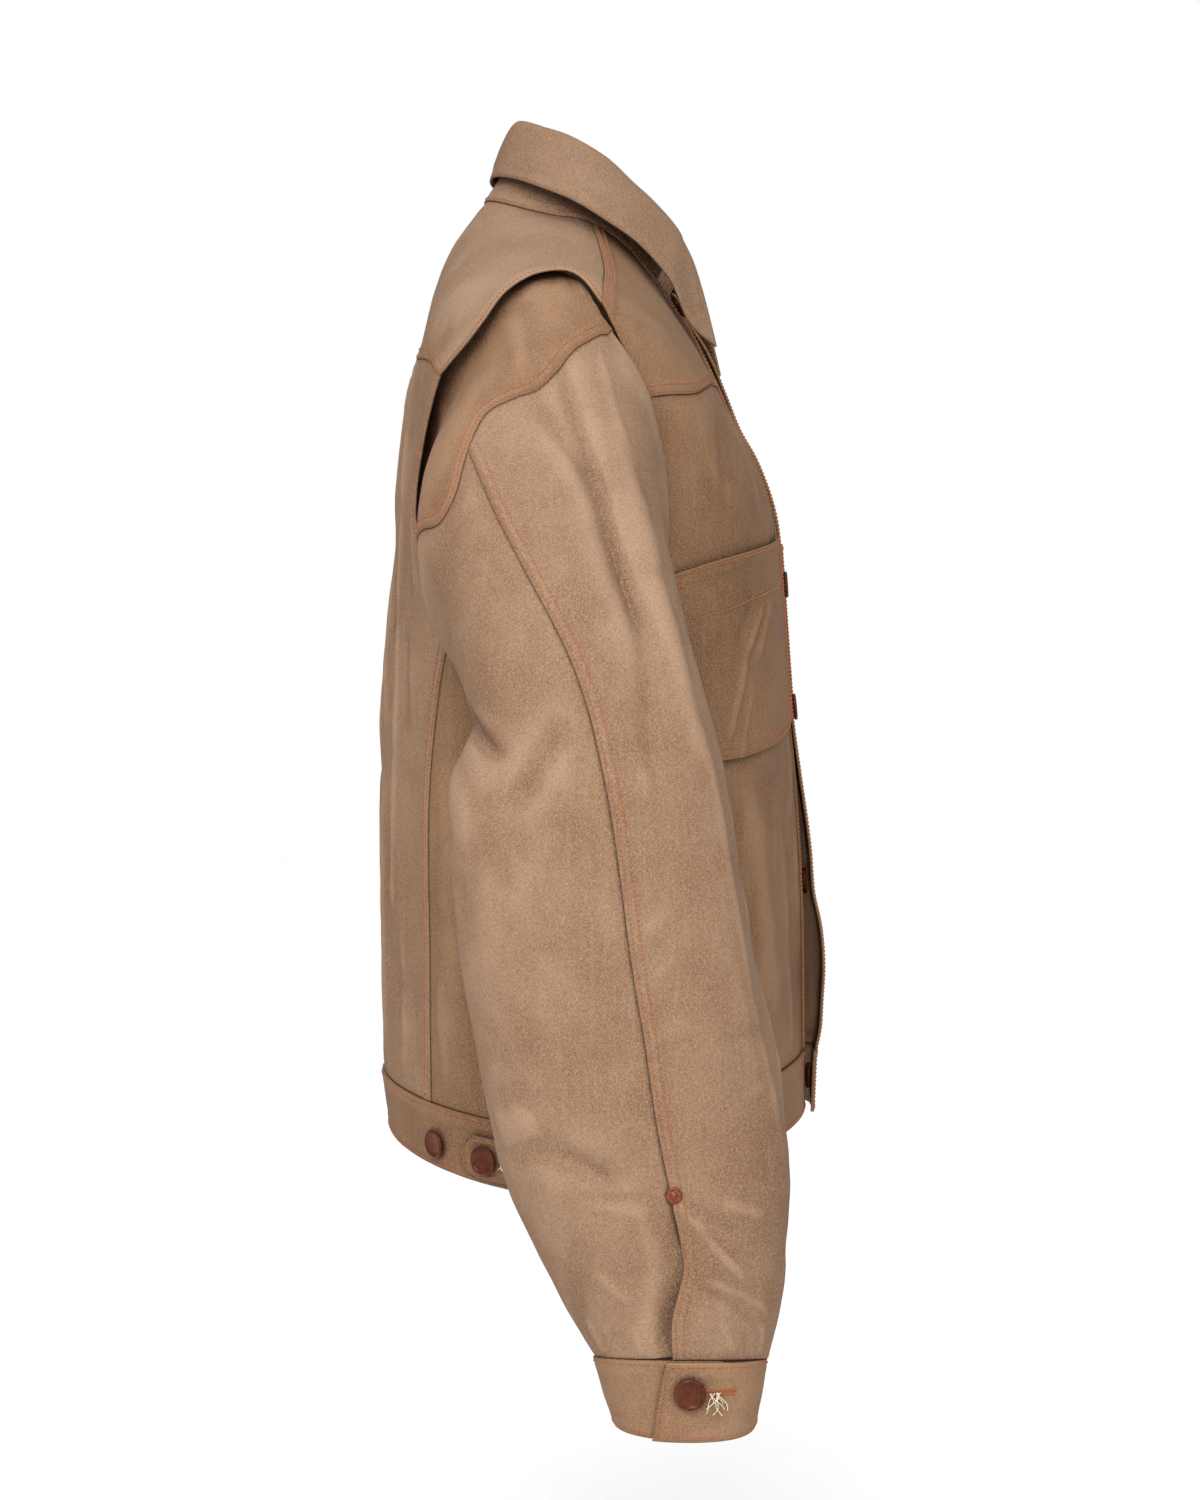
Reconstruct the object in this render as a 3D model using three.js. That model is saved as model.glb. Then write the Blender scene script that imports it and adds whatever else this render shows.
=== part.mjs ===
// Waxed canvas jacket, worn pose, hollow.
// Millimetres. The front faces -Y, the wearer's left is +X, up is +Z.
// The origin lies in the middle of the neck base, level with the points where the shoulders meet the neck.
import * as THREE from 'three';

// Cloth
const WALL = 1.4;
const DOUBLE_WALL = 2.2;
const SEAM_GAP = 0.3;
const LAP_GAP = 0.45;

// Front opening: the left front laps over the right one
const PLACKET_HALF = 19;
const LAP_LIFT = WALL + LAP_GAP;
const LAP_FADE = 70;

// Buttons
const BUTTON_RADIUS = 8.5;
const BUTTON_HEIGHT = 3.4;
const BUTTON_FOOT = 6;
const BUTTON_RIM = 1.6;
const BUTTON_DISH = 0.9;
const BUTTON_SIDES = 14;
const BUTTON_GAP = 0.55;
const RIVET_RADIUS = 4.4;
const RIVET_HEIGHT = 1.3;

// Colours
const CANVAS_TAN = 0x9b7757;
const CANVAS_DARK = 0x84624a;
const BUTTON_BROWN = 0x5a2a14;
const COPPER = 0xa8683f;

const RIGHT = -1;
const LEFT = 1;
const SIDES = [['right', RIGHT], ['left', LEFT]];

// Girth from centre front to centre back, the scale of crease positions across the body
const HALF_GIRTH = 520;
// Usual distance between two rings of the body
const RING_STEP = 55;
// Round of the sleeve, the scale of crease positions across it
const SLEEVE_GIRTH = 430;
const SLEEVE_RING_STEP = 58;
const SLEEVE_SQUARE = 2.2;
// How the rings of the body dip and rise between side and front or back
const RING_BEND = 1.6;
// Rim points of neighbours are drawn back by this part of the seam gap each
const RIM_SHARE = 0.55;

// The back's free edge over the sleeve
const FREE_EDGE_RISE = 3.4;
const FREE_EDGE_FADE = 34;

// Rings of the body from the neck seam down to the hem
const BODY = table(
  ['zFront', 'zSide', 'zBack', 'yFront', 'ySide', 'yBack', 'half', 'square'],
  [
    [-51, -1, 23, -52, 12, 72, 76, 2.0],
    [-77, -24, -8, -65, 9, 92, 118, 2.05],
    [-99, -44, -42, -75, 7, 103, 162, 2.1],
    [-122, -63, -80, -85, 8, 110, 200, 2.15],
    [-146, -95, -115, -98, 10, 115, 209, 2.2],
    [-180, -150, -160, -109, 10, 121, 205, 2.2],
    [-225, -215, -215, -113, 10, 126, 199, 2.25],
    [-285, -285, -285, -117, 8, 129, 196, 2.3],
    [-350, -352, -350, -123, 5, 134, 194, 2.25],
    [-425, -430, -425, -127, 2, 134, 188, 2.2],
    [-514, -541, -523, -128, 0, 134, 178, 2.15],
    [-552, -580, -558, -128, 0, 130, 176, 2.1],
  ],
);
const WAIST_SEAM = 10;
const HEM = 11;

// How far the left front stands out where it is unfastened
const LEFT_FLARE = table(
  ['z', 'out'],
  [
    [-50, 2.5],
    [-70, 3.5],
    [-95, 2],
    [-130, 0.3],
    [-300, 0.3],
    [-335, 1.5],
    [-385, 5],
    [-415, 6],
    [-437, 10],
    [-460, 11.5],
    [-485, 10],
    [-500, 9],
    [-515, 6],
    [-532, 5],
    [-560, 4],
  ],
);

// How far the middle of each placket lies from the centre plane: the fronts open to a V above the second button
const FRONT_OPEN = table(
  ['ring', 'out'],
  [[0, 46], [1, 36], [2, 28], [3, 20], [4, 12], [5, 4.5], [6, 0.5], [6.6, 0], [11, 0]],
);

// Armhole edge of the front, seen from the side, turning from the shoulder seam to the underarm and the back
const ARMHOLE_EDGE = table(
  ['turn', 'y', 'z'],
  [
    [36, -15, -76],
    [60, -36, -125],
    [90, -46, -185],
    [120, -40, -238],
    [150, -16, -275],
    [180, 12, -289],
    [210, 44, -280],
    [234, 72, -254],
  ],
);

// Top of the sleeve cloth, seen from the side. rise is its height over the body's inner face:
// below zero it is tucked under the free edge, at zero it stands just inside the armhole edge.
const SLEEVE_TOP = table(
  ['turn', 'y', 'z', 'rise'],
  [
    [0, 24, -50, -2.6],
    [22, 0, -58, -2.6],
    [36, -10, -80, -2.2],
    [60, -33, -124, 0],
    [90, -43, -185, 0],
    [120, -37, -236, 0],
    [150, -13, -270, 0],
    [180, 12, -283.5, 0],
    [210, 41, -274, 0],
    [234, 65, -248, -2],
    [260, 101, -221, -2.6],
    [285, 107, -185, -2.6],
    [305, 103, -145, -2.6],
    [325, 88, -108, -2.6],
    [343, 58, -74, -2.6],
  ],
);

// Where the sleeve comes out from under the free edge, or stands off the armhole edge
const SLEEVE_MOUTH = table(
  ['turn', 'y', 'z', 'rise'],
  [
    [0, 14, -68, -2.4],
    [22, -8, -74, -2.0],
    [36, -16, -90, 2],
    [60, -36, -129, 9],
    [90, -45, -190, 10],
    [120, -39, -241, 9],
    [150, -15, -277, 6],
    [180, 12, -291, 5],
    [210, 42, -282, 5],
    [234, 64, -257, 3],
    [260, 83, -224, -2.6],
    [285, 89, -186, -2.8],
    [305, 85, -149, -2.8],
    [325, 71, -119, -2.8],
    [343, 44, -87, -2.6],
  ],
);

// Hanging rings of the sleeve. reach and drop lead from the ring's middle to its outermost point.
const SLEEVE = table(
  ['out', 'y', 'z', 'reach', 'drop', 'front', 'back'],
  [
    [224, 16, -214, 22, 84, 66, 68],
    [248, 2, -262, 42, 50, 64, 62],
    [258, -12, -312, 50, 23, 65, 63],
    [262, -14, -358, 53, 9, 74, 74],
    [263, -21, -430, 53, 2, 77, 77],
    [262, -32, -490, 52, 0, 77, 77],
    [260, -42, -545, 50, 0, 76, 76],
    [259, -50, -588, 47, 2, 67, 67],
    [258, -56, -620, 44, 5, 58, 57],
    [258, -62, -649, 41, 8, 45, 45],
  ],
);
const SLEEVE_END = SLEEVE.length + 1;

// Slit above the cuff: its back edge runs on beneath the front edge, some degrees far and some millimetres deep
const SLIT_TOP = 8.2;
const SLIT_UNDER = 6;
const SLIT_FADE = 15;
const SLIT_DIP = table(['ring', 'depth'], [[8.2, 0], [8.5, 2.8], [9.3, 4.2], [10.1, 6.5], [10.6, 5.5], [11, 2.9]]);

const CUFF = table(
  ['out', 'y', 'z', 'reach', 'drop', 'front', 'back'],
  [
    [258, -62, -649.5, 41, 8, 43, 45],
    [258, -64, -667, 38, 3, 39, 42],
    [258, -67, -683, 35, -1, 32, 39],
  ],
);
const CUFF_UNDER_END = 30;
const CUFF_OVER_END = [-7, -26];
const CUFF_LIFT = DOUBLE_WALL + LAP_GAP;
const CUFF_STEP = 62;

// Seams of the sleeve: turn and ring number. The outer seam starts half way along the cap seam.
const OUTER_SEAM = table(
  ['ring', 'turn'],
  [
    [2.3, -36.5],
    [2.7, -30],
    [3.15, -20],
    [3.9, -3],
    [4.7, 7],
    [5.5, 11.5],
    [6.5, 12],
    [7.45, 10.5],
    [8.2, 11],
    [9.1, 12],
    [9.6, 8],
    [10.35, 0],
    [11, -4],
  ],
);
const CAP_SEAM = table(
  ['turn', 'ring'],
  [
    [47, 0.3],
    [43, 0.7],
    [36, 1.15],
    [24, 1.45],
    [16, 1.62],
    [8, 1.85],
    [0, 2.0],
    [-12, 2.06],
    [-26, 2.12],
    [-36.5, 2.3],
    [-48, 2.5],
    [-62, 2.5],
    [-74, 2.3],
    [-88, 1.9],
    [-104, 1.2],
    [-120, 0.4],
  ],
);
const CAP_TURNS = CAP_SEAM[0].turn - CAP_SEAM[CAP_SEAM.length - 1].turn;

// Collar from centre back to its front end: neck seam, fold and free edge
const COLLAR = table(
  ['neck', 'foldOut', 'foldY', 'foldZ', 'edgeOut', 'edgeY', 'edgeZ'],
  [
    [1.0, 0, 49, 75.5, 0, 71, 38],
    [0.86, 23, 45, 72.5, 34, 65, 35.5],
    [0.73, 42, 31, 63.5, 61, 49, 28],
    [0.6, 54, 12, 54, 81, 28, 17],
    [0.5, 60, -8, 40, 93, 9, 7],
    [0.41, 59, -24, 24, 97, -11, -6],
    [0.34, 53, -37, 12, 94, -31, -20],
    [0.275, 45, -48, 0, 85, -50, -41],
    [0.245, 42, -51.5, -6, 76, -61, -65],
    [0.22, 39, -54, -12, 60, -76.5, -77],
  ],
);

// Free edge of the yoke and the back over the sleeve, seen from the side, from the shoulder to the underarm
const FREE_EDGE = [
  [-15, -76], [-4, -64], [8, -59], [22, -61], [37, -70], [49, -85], [61, -98], [76, -111],
  [83, -130], [89, -152], [93, -175], [93, -193], [88, -212], [80, -235], [72, -254],
];
const YOKE_CORNER = 7;
const SHOULDER_SEAM = [[-7, -26], [-13, -49], [-15, -76]];
const SHOULDER_AT_NECK = 0.44;
const FRONT_YOKE_SEAM = [[45, -100], [90, -105], [130, -113], [162, -121]];
const FRONT_YOKE_Z = -99;
const SHOULDER_TURN = 36;
const FRONT_YOKE_TURN = 61.5;
const FRONT_LINE_TURN = 112;
const UNDERARM_TURN = 234;
const FRONT_LINE_FOOT = 0.4;
const FRONT_LINE_Z = -390;
const CENTRE_BACK_Z = [-25, -250];
const INNER_SEAM_TURN = 180;
const TOP_TURN = 66;
const GUSSET_TRIM = 0.02;

const SIDE_BACK_SEAM = [[80, -290], [86, -340], [88, -400], [88, -460], [89, -525]];
const BACK_YOKE_Z = -78;
const YOKE_SEAM_INNER = [[109, -79], [94, -94]];

// Pocket: distance of its sides from the centre line, height of its corners, cut of its lower corners, rise of
// the middle of its top and sag of its bottom
const POCKET = {
  front: 27,
  back: 184,
  topFront: -192,
  topBack: -229,
  bottomFront: -294,
  bottomBack: -326,
  clip: 26,
  rise: 5,
  sag: 4,
};
const POCKET_LIFT = WALL + 1.3;

// Side tab on the waistband: y of its tip and of its sewn end, half its height, and its clipped corners:
// the part of its length that they take and the part of its height that is left at the tip
const TAB = { tip: 67, root: -25, z: -556, half: 13, corner: 0.1, tipShare: 0.4 };
const WAISTBAND_HEIGHT = 38;

// Buttons by height down the front, and by side-view place on the waistband
const FRONT_BUTTONS = table(
  ['z', 'fastened'],
  [[-60, false], [-220, true], [-298, true], [-408, false], [-532, false]],
);
const TAB_BUTTONS = table(['y', 'z', 'onTab'], [[52, -560, true], [84, -555, false]]);
const CUFF_BUTTON_TURN = 6;
const CUFF_BUTTON_PART = 0.36;
const RIVET_TURN = 1;

// Collar: how far the stand is hollowed and how far the fall rolls out before it turns down
const STAND_HOLLOW = 3;
const STAND_TOP = 0.97;
const COLLAR_ROLL = 9;
const COLLAR_ROLL_RISE = 3;

// Columns and rows of each piece's grid; edge is how many of the columns or rows lie on its first seam
const GRID = {
  backYoke: { cols: 20, rows: 7, edge: 8 },
  backPanel: { cols: 10, rows: 18, edge: 6 },
  frontYoke: { cols: 8, rows: 8, edge: 3 },
  frontPanel: { cols: 8, rows: 18, edge: 5 },
  underarm: { cols: 11, rows: 13 },
  placket: { cols: 3, rows: 24 },
  waistband: { cols: 24, rows: 2 },
  pocket: { cols: 10, rows: 7 },
  tab: { cols: 10, rows: 2 },
  cap: { cols: 16, rows: 5 },
  sleeveFront: { cols: 15, rows: 20, edge: 7 },
  sleeveBack: { cols: 11, rows: 20, edge: 8 },
  cuff: { cols: 30, rows: 2 },
  stand: { cols: 16, rows: 3 },
  fall: { cols: 16, rows: 5 },
};

// Steps in which a surface is felt to find its outward direction
const BODY_FEEL = [0.004, 0.02];
const SLEEVE_FEEL = [1, 0.02];
const COLLAR_FEEL = [0.01, 0.01];

// Large folds. across is the girth from the centre front, high to low; height is positive for a ridge.
const BODY_FOLDS = [
  // across, z, across, z, width, height, side (0 both, -1 right, 1 left)
  [452, -95, 470, -190, 13, 3, 0],
  [486, -84, 492, -150, 12, -3, 0],
  [440, -215, 462, -330, 14, 4, 0],
  [470, -190, 480, -330, 13, -3, 0],
  [436, -330, 448, -520, 12, 4, 0],
  [462, -360, 470, -520, 14, -4, 0],
  [498, -250, 500, -515, 16, 3, 0],
  [395, -300, 400, -500, 16, -3, 0],
  [345, -330, 352, -530, 18, 4, 0],
  [300, -320, 290, -520, 18, -4, 0],
  [235, -330, 225, -520, 20, 4, 0],
  [120, -300, 48, -215, 16, 1.6, 0],
  [120, -345, 95, -500, 15, 3, 0],
  [60, -330, 50, -505, 12, -2.5, 0],
  [175, -345, 160, -515, 15, -4, 0],
  [60, -110, 120, -165, 14, -2.5, 0],
];

// Large folds of the sleeve: turn, ring, turn, ring, width, height
const SLEEVE_FOLDS = [
  [12, 1.9, 24, 2.8, 8, -5],
  [22, 2.7, 34, 3.7, 9, -5],
  [33, 3.6, 26, 4.8, 10, -2.5],
  [36, 1.9, 46, 3.0, 9, 3.5],
  [46, 2.9, 53, 4.7, 9, 3.5],
  [54, 4.5, 60, 7.3, 9, 2],
  [-100, 3.75, -36, 4.65, 8, -4.5],
  [-100, 4.3, -50, 5.3, 11, 2.5],
  [-28, 5.05, -8, 4.35, 8, -2],
  [-62, 7.6, -38, 7.45, 8, 2],
  [-42, 7.7, -8, 8.05, 10, -2.5],
  [118, 4.2, 88, 5.6, 10, -4],
  [118, 5.8, 90, 7.4, 11, 3],
  [112, 7.6, 90, 9.2, 10, -3],
  [-30, 8.8, -60, 10.3, 9, -1.5],
  [60, 9.4, 75, 10.7, 9, -1.5],
  [-130, 5.2, -92, 6.4, 10, -3],
  [-125, 6.9, -95, 8.2, 10, 3],
  [150, 3.5, 175, 5.5, 12, -4],
  [190, 4.5, 215, 7.0, 12, -4],
];

// Named columns of a table, one object for each row
function table(names, rows) {
  return rows.map((row) => Object.fromEntries(names.map((name, i) => [name, row[i]])));
}

function clamp(x, low, high) {
  return Math.min(high, Math.max(low, x));
}

function smooth(low, high, x) {
  const t = clamp((x - low) / (high - low), 0, 1);
  return t * t * (3 - 2 * t);
}

// Catmull-Rom value through four values at part t of the middle stretch
function spline4(a, b, c, d, t) {
  const square = 2 * a - 5 * b + 4 * c - d;
  const cube = 3 * b - a - 3 * c + d;
  return 0.5 * (2 * b + (c - a) * t + square * t * t + cube * t * t * t);
}

// Columns of a table at a whole or broken row number
function rowAt(rows, t) {
  const last = rows.length - 1;
  const i = clamp(Math.floor(t), 0, last - 1);
  const at = (k) => rows[clamp(k, 0, last)];
  const out = {};
  for (const name of Object.keys(rows[0])) {
    out[name] = spline4(at(i - 1)[name], at(i)[name], at(i + 1)[name], at(i + 2)[name], t - i);
  }
  return out;
}

// Value of one column against another that rises or falls all the way
function lookUp(rows, key, name, x) {
  const rising = rows[rows.length - 1][key] > rows[0][key];
  const past = (row) => (rising ? row[key] >= x : row[key] <= x);
  const after = rows.findIndex(past);
  if (after === 0) return rows[0][name];
  if (after < 0) return rows[rows.length - 1][name];
  const a = rows[after - 1];
  const b = rows[after];
  const p = rows[Math.max(0, after - 2)];
  const q = rows[Math.min(rows.length - 1, after + 1)];
  return spline4(p[name], a[name], b[name], q[name], (x - a[key]) / (b[key] - a[key]));
}

const vec = (x, y, z) => new THREE.Vector3(x, y, z);

// Point of the plain body on one half: out is the distance from the centre plane
function bodyBase(u, v) {
  const r = rowAt(BODY, v);
  const angle = Math.PI * u;
  const s = Math.sin(angle);
  const c = Math.cos(angle);
  const radius = (Math.abs(s) ** r.square + Math.abs(c) ** r.square) ** (-1 / r.square);
  const reach = radius * c;
  const bend = Math.abs(reach) ** RING_BEND;
  const front = reach > 0;
  return vec(
    r.half * radius * s,
    r.ySide - reach * (front ? r.ySide - r.yFront : r.yBack - r.ySide),
    r.zSide + bend * ((front ? r.zFront : r.zBack) - r.zSide),
  );
}

// Outward direction of a surface given by a function of two numbers
function facing(surface, p, q, [dp, dq]) {
  const along = surface(p + dp, q).sub(surface(p - dp, q));
  const down = surface(p, q + dq).sub(surface(p, q - dq));
  return down.cross(along).normalize();
}

// Height of a row of folds at a point of a flat map
function foldHeight(folds, x, y, wide, tall) {
  let height = 0;
  for (const [x0, y0, x1, y1, width, rise] of folds) {
    const dx = (x1 - x0) * wide;
    const dy = (y1 - y0) * tall;
    const px = (x - x0) * wide;
    const py = (y - y0) * tall;
    const t = (px * dx + py * dy) / (dx * dx + dy * dy);
    const away = Math.abs(px * dy - py * dx) / Math.hypot(dx, dy);
    const end = smooth(-0.12, 0.25, t) * (1 - smooth(0.75, 1.12, t));
    height += rise * end * Math.exp(-((away / width) ** 2));
  }
  return height;
}

// How far the yoke and the back stand off near their free edge, so that the sleeve passes under it
function freeEdgeRise(u, v) {
  let nearest = Infinity;
  let along = 0;
  for (let i = 0; i < freeEdge.length - 1; i += 1) {
    const [a, b] = [freeEdge[i], freeEdge[i + 1]];
    const dx = (b[0] - a[0]) * HALF_GIRTH;
    const dy = (b[1] - a[1]) * RING_STEP;
    const px = (u - a[0]) * HALF_GIRTH;
    const py = (v - a[1]) * RING_STEP;
    const t = clamp((px * dx + py * dy) / (dx * dx + dy * dy), 0, 1);
    const away = Math.hypot(px - t * dx, py - t * dy);
    if (away < nearest) {
      nearest = away;
      along = (i + t) / (freeEdge.length - 1);
    }
  }
  const ends = smooth(0, 0.12, along) * (1 - smooth(0.9, 1, along));
  return FREE_EDGE_RISE * ends * (1 - smooth(0, FREE_EDGE_FADE, nearest));
}

// How far one half of the body stands off its plain form
function bodyRelief(side, u, v, base) {
  const folds = BODY_FOLDS.filter((fold) => fold[6] === 0 || fold[6] === side);
  const calm = smooth(1.2, 2.4, v) * (1 - smooth(WAIST_SEAM - 0.6, WAIST_SEAM, v));
  let relief = calm * foldHeight(folds, u * HALF_GIRTH, base.z, 1, 1);
  if (side === LEFT) {
    const near = 1 - smooth(PLACKET_HALF, LAP_FADE, base.x);
    relief += u < 0.5 ? near * (LAP_LIFT + lookUp(LEFT_FLARE, 'z', 'out', base.z)) : 0;
  }
  return relief;
}

// Point on one half of the body, height over the cloth's inner face
function bodyPoint(side, u, v, height, overSleeve = false) {
  const base = bodyBase(u, v);
  const out = facing(bodyBase, u, v, BODY_FEEL);
  const free = height + bodyRelief(side, u, v, base) + (overSleeve ? freeEdgeRise(u, v) : 0);
  const p = base.addScaledVector(out, free);
  return vec(side * p.x, p.y, p.z);
}

// Body numbers [u, v] where two coordinates of the plain body have the values asked for
function findOnBody(first, second, p1, p2, uLow, uHigh) {
  const miss = (u, v) => {
    const p = bodyBase(u, v);
    return [p1 - p[first], p2 - p[second]];
  };
  let best = [uLow, 0];
  let least = Infinity;
  for (let i = 1; i < 40; i += 1) {
    for (let j = 0; j <= 44; j += 1) {
      const u = uLow + (uHigh - uLow) * (i / 40);
      const away = Math.hypot(...miss(u, j / 4));
      if (away < least) {
        least = away;
        best = [u, j / 4];
      }
    }
  }
  const du = 1e-4;
  const dv = 1e-3;
  for (let k = 0; k < 12; k += 1) {
    const [u, v] = best;
    const [e1, e2] = miss(u, v);
    const [u1, u2] = miss(u + du, v).map((e, n) => ([e1, e2][n] - e) / du);
    const [v1, v2] = miss(u, v + dv).map((e, n) => ([e1, e2][n] - e) / dv);
    const det = u1 * v2 - v1 * u2;
    best = [
      clamp(u + clamp((e1 * v2 - v1 * e2) / det, -0.02, 0.02), uLow, uHigh),
      clamp(v + clamp((u1 * e2 - e1 * u2) / det, -0.3, 0.3), 0, HEM),
    ];
  }
  return best;
}

// Body numbers of a point seen from the side, and of one on the front by its distance from the centre plane
const seenAt = (y, z) => findOnBody('y', 'z', y, z, 0.002, 0.998);
const frontAt = (out, z) => findOnBody('x', 'z', out, z, 0.002, 0.5);

// Body numbers on a line from the neck to the hem, at a height
function heightAt(u, z) {
  let low = 0;
  let high = HEM;
  for (let k = 0; k < 40; k += 1) {
    const middle = (low + high) / 2;
    if (bodyBase(u, middle).z > z) low = middle;
    else high = middle;
  }
  return [u, low];
}

// Body number u of a distance from the centre plane, on the front
function acrossAt(out, v) {
  let u = 0;
  for (let k = 0; k < 20; k += 1) {
    const slope = (bodyBase(u + 1e-3, v).x - bodyBase(u - 1e-3, v).x) / 2e-3;
    u += (out - bodyBase(u, v).x) / slope;
  }
  return u;
}

// Smooth line through pairs of numbers, run through by its length on the flat map
function through(points, wide = HALF_GIRTH, tall = RING_STEP) {
  const lengths = [0];
  for (let i = 1; i < points.length; i += 1) {
    const [a, b] = [points[i - 1], points[i]];
    const step = Math.hypot((b[0] - a[0]) * wide, (b[1] - a[1]) * tall);
    lengths.push(lengths[i - 1] + step);
  }
  const total = lengths[lengths.length - 1];
  return (t) => {
    const want = clamp(t, 0, 1) * total;
    let i = 0;
    while (i < points.length - 2 && lengths[i + 1] < want) i += 1;
    const part = (want - lengths[i]) / (lengths[i + 1] - lengths[i]);
    const at = (k) => points[clamp(k, 0, points.length - 1)];
    return [0, 1].map((n) => spline4(at(i - 1)[n], at(i)[n], at(i + 1)[n], at(i + 2)[n], part));
  };
}

// Two lines end to end; share is the part of the whole that the first takes
function joined(first, second, share) {
  return (t) => (t <= share ? first(t / share) : second((t - share) / (1 - share)));
}

// Fill between four lines of a flat map: top and bottom run the same way, left and right run down
function fill(top, bottom, left, right) {
  const corner = [top(0), top(1), bottom(0), bottom(1)];
  return (a, b) => {
    const t = top(a);
    const m = bottom(a);
    const l = left(b);
    const r = right(b);
    return [0, 1].map((k) => (1 - b) * t[k] + b * m[k] + (1 - a) * l[k] + a * r[k]
      - (1 - a) * (1 - b) * corner[0][k] - a * (1 - b) * corner[1][k]
      - (1 - a) * b * corner[2][k] - a * b * corner[3][k]);
  };
}

// Stretch of cloth on one side: place(a, b, h) gives its point, h from 0 at the inner face to 1 at the outer
function stretch(side, { cols, rows }, place) {
  return { side, cols, rows, place };
}

// One closed wall from one or more stretches that share points where they meet
function cloth(name, stretches, colour) {
  const inner = [];
  const outer = [];
  const known = new Map();
  const quads = [];
  for (const { side, cols, rows, place } of stretches) {
    const ids = [];
    for (let j = 0; j <= rows; j += 1) {
      for (let i = 0; i <= cols; i += 1) {
        const low = place(i / cols, j / rows, 0);
        const key = [low.x, low.y, low.z].map((x) => Math.round(x * 50)).join(',');
        if (!known.has(key)) {
          known.set(key, inner.length);
          inner.push(low);
          outer.push(place(i / cols, j / rows, 1));
        }
        ids.push(known.get(key));
      }
    }
    const at = (i, j) => ids[j * (cols + 1) + i];
    for (let j = 0; j < rows; j += 1) {
      for (let i = 0; i < cols; i += 1) {
        quads.push([at(i, j), at(i + 1, j), at(i + 1, j + 1), at(i, j + 1), side]);
      }
    }
  }
  const faces = [];
  for (const [a, b, c, d, side] of quads) {
    const short = outer[a].distanceTo(outer[c]) < outer[b].distanceTo(outer[d]);
    const pair = short ? [[a, b, c], [a, c, d]] : [[a, b, d], [b, c, d]];
    for (const face of pair) {
      if (new Set(face).size === 3) faces.push(side === LEFT ? face.reverse() : face);
    }
  }
  const edges = rimEdges(faces);
  pullIn(inner, outer, faces, edges);
  const count = inner.length;
  const index = [];
  for (const [a, b, c] of faces) {
    index.push(a + count, b + count, c + count, c, b, a);
  }
  for (const [a, b] of edges) {
    index.push(b + count, a + count, a, b + count, a, b);
  }
  return solid(name, [...inner, ...outer], index, colour);
}

// Edges with a face on one side only
function rimEdges(faces) {
  const seen = new Set();
  for (const [a, b, c] of faces) {
    for (const edge of [[a, b], [b, c], [c, a]]) seen.add(edge.join(','));
  }
  const edges = [];
  for (const [a, b, c] of faces) {
    for (const [p, q] of [[a, b], [b, c], [c, a]]) {
      if (!seen.has(`${q},${p}`)) edges.push([p, q]);
    }
  }
  return edges;
}

// Draws the rim back by half the seam gap
function pullIn(inner, outer, faces, edges) {
  const rim = new Map();
  for (const [a, b] of edges) {
    for (const p of [a, b]) rim.set(p, { toward: vec(0, 0, 0), along: vec(0, 0, 0) });
  }
  for (const [a, b] of edges) {
    const way = outer[b].clone().sub(outer[a]).normalize();
    rim.get(a).along.add(way);
    rim.get(b).along.add(way);
  }
  for (const face of faces) {
    for (const p of face) {
      if (!rim.has(p)) continue;
      for (const q of face) rim.get(p).toward.add(outer[q].clone().sub(outer[p]));
    }
  }
  for (const [p, { toward, along }] of rim) {
    const way = along.normalize();
    toward.addScaledVector(way, -toward.dot(way));
    const move = toward.normalize().multiplyScalar(SEAM_GAP * RIM_SHARE);
    inner[p].add(move);
    outer[p].add(move);
  }
}

// Closed mesh with its faces turned outward
function solid(name, points, index, colour) {
  let volume = 0;
  for (let i = 0; i < index.length; i += 3) {
    const [a, b, c] = [points[index[i]], points[index[i + 1]], points[index[i + 2]]];
    volume += a.dot(b.clone().cross(c));
  }
  const order = volume > 0 ? index : [...index].reverse();
  const geometry = new THREE.BufferGeometry();
  const flat = points.flatMap((p) => [p.x, p.y, p.z]);
  geometry.setAttribute('position', new THREE.Float32BufferAttribute(flat, 3));
  geometry.setIndex(order);
  const material = new THREE.MeshStandardMaterial({ color: colour, roughness: 0.72, metalness: 0 });
  const mesh = new THREE.Mesh(geometry, material);
  mesh.name = name;
  return mesh;
}

// Body stretch between four lines of the body's map
function bodyStretch(side, grid, map, { lift = 0, wall = WALL, overSleeve = false } = {}) {
  return stretch(side, grid, (a, b, h) => {
    const [u, v] = map(a, b);
    return bodyPoint(side, u, v, lift + h * wall, overSleeve);
  });
}

// Body numbers and rise of a closed line at a turn in degrees
function roundTheArmhole(rows) {
  const spots = rows.map((row) => [...seenAt(row.y, row.z), row.rise]);
  const turns = rows.map((row) => row.turn);
  const n = turns.length;
  const at = (k) => spots[(k + n) % n];
  return (turn) => {
    const angle = ((turn % 360) + 360) % 360;
    let i = n - 1;
    while (turns[i] > angle) i -= 1;
    const next = i + 1 < n ? turns[i + 1] : 360;
    const part = (angle - turns[i]) / (next - turns[i]);
    return [0, 1, 2].map((k) => spline4(at(i - 1)[k], at(i)[k], at(i + 1)[k], at(i + 2)[k], part));
  };
}
const sleeveTop = roundTheArmhole(SLEEVE_TOP);
const sleeveMouth = roundTheArmhole(SLEEVE_MOUTH);

// Body numbers of the front's armhole edge at a turn in degrees
const EDGE_SPOTS = ARMHOLE_EDGE.map((row) => {
  const [u, v] = seenAt(row.y, row.z);
  return { turn: row.turn, u, v };
});
const armhole = (turn) => [lookUp(EDGE_SPOTS, 'turn', 'u', turn), lookUp(EDGE_SPOTS, 'turn', 'v', turn)];

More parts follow.
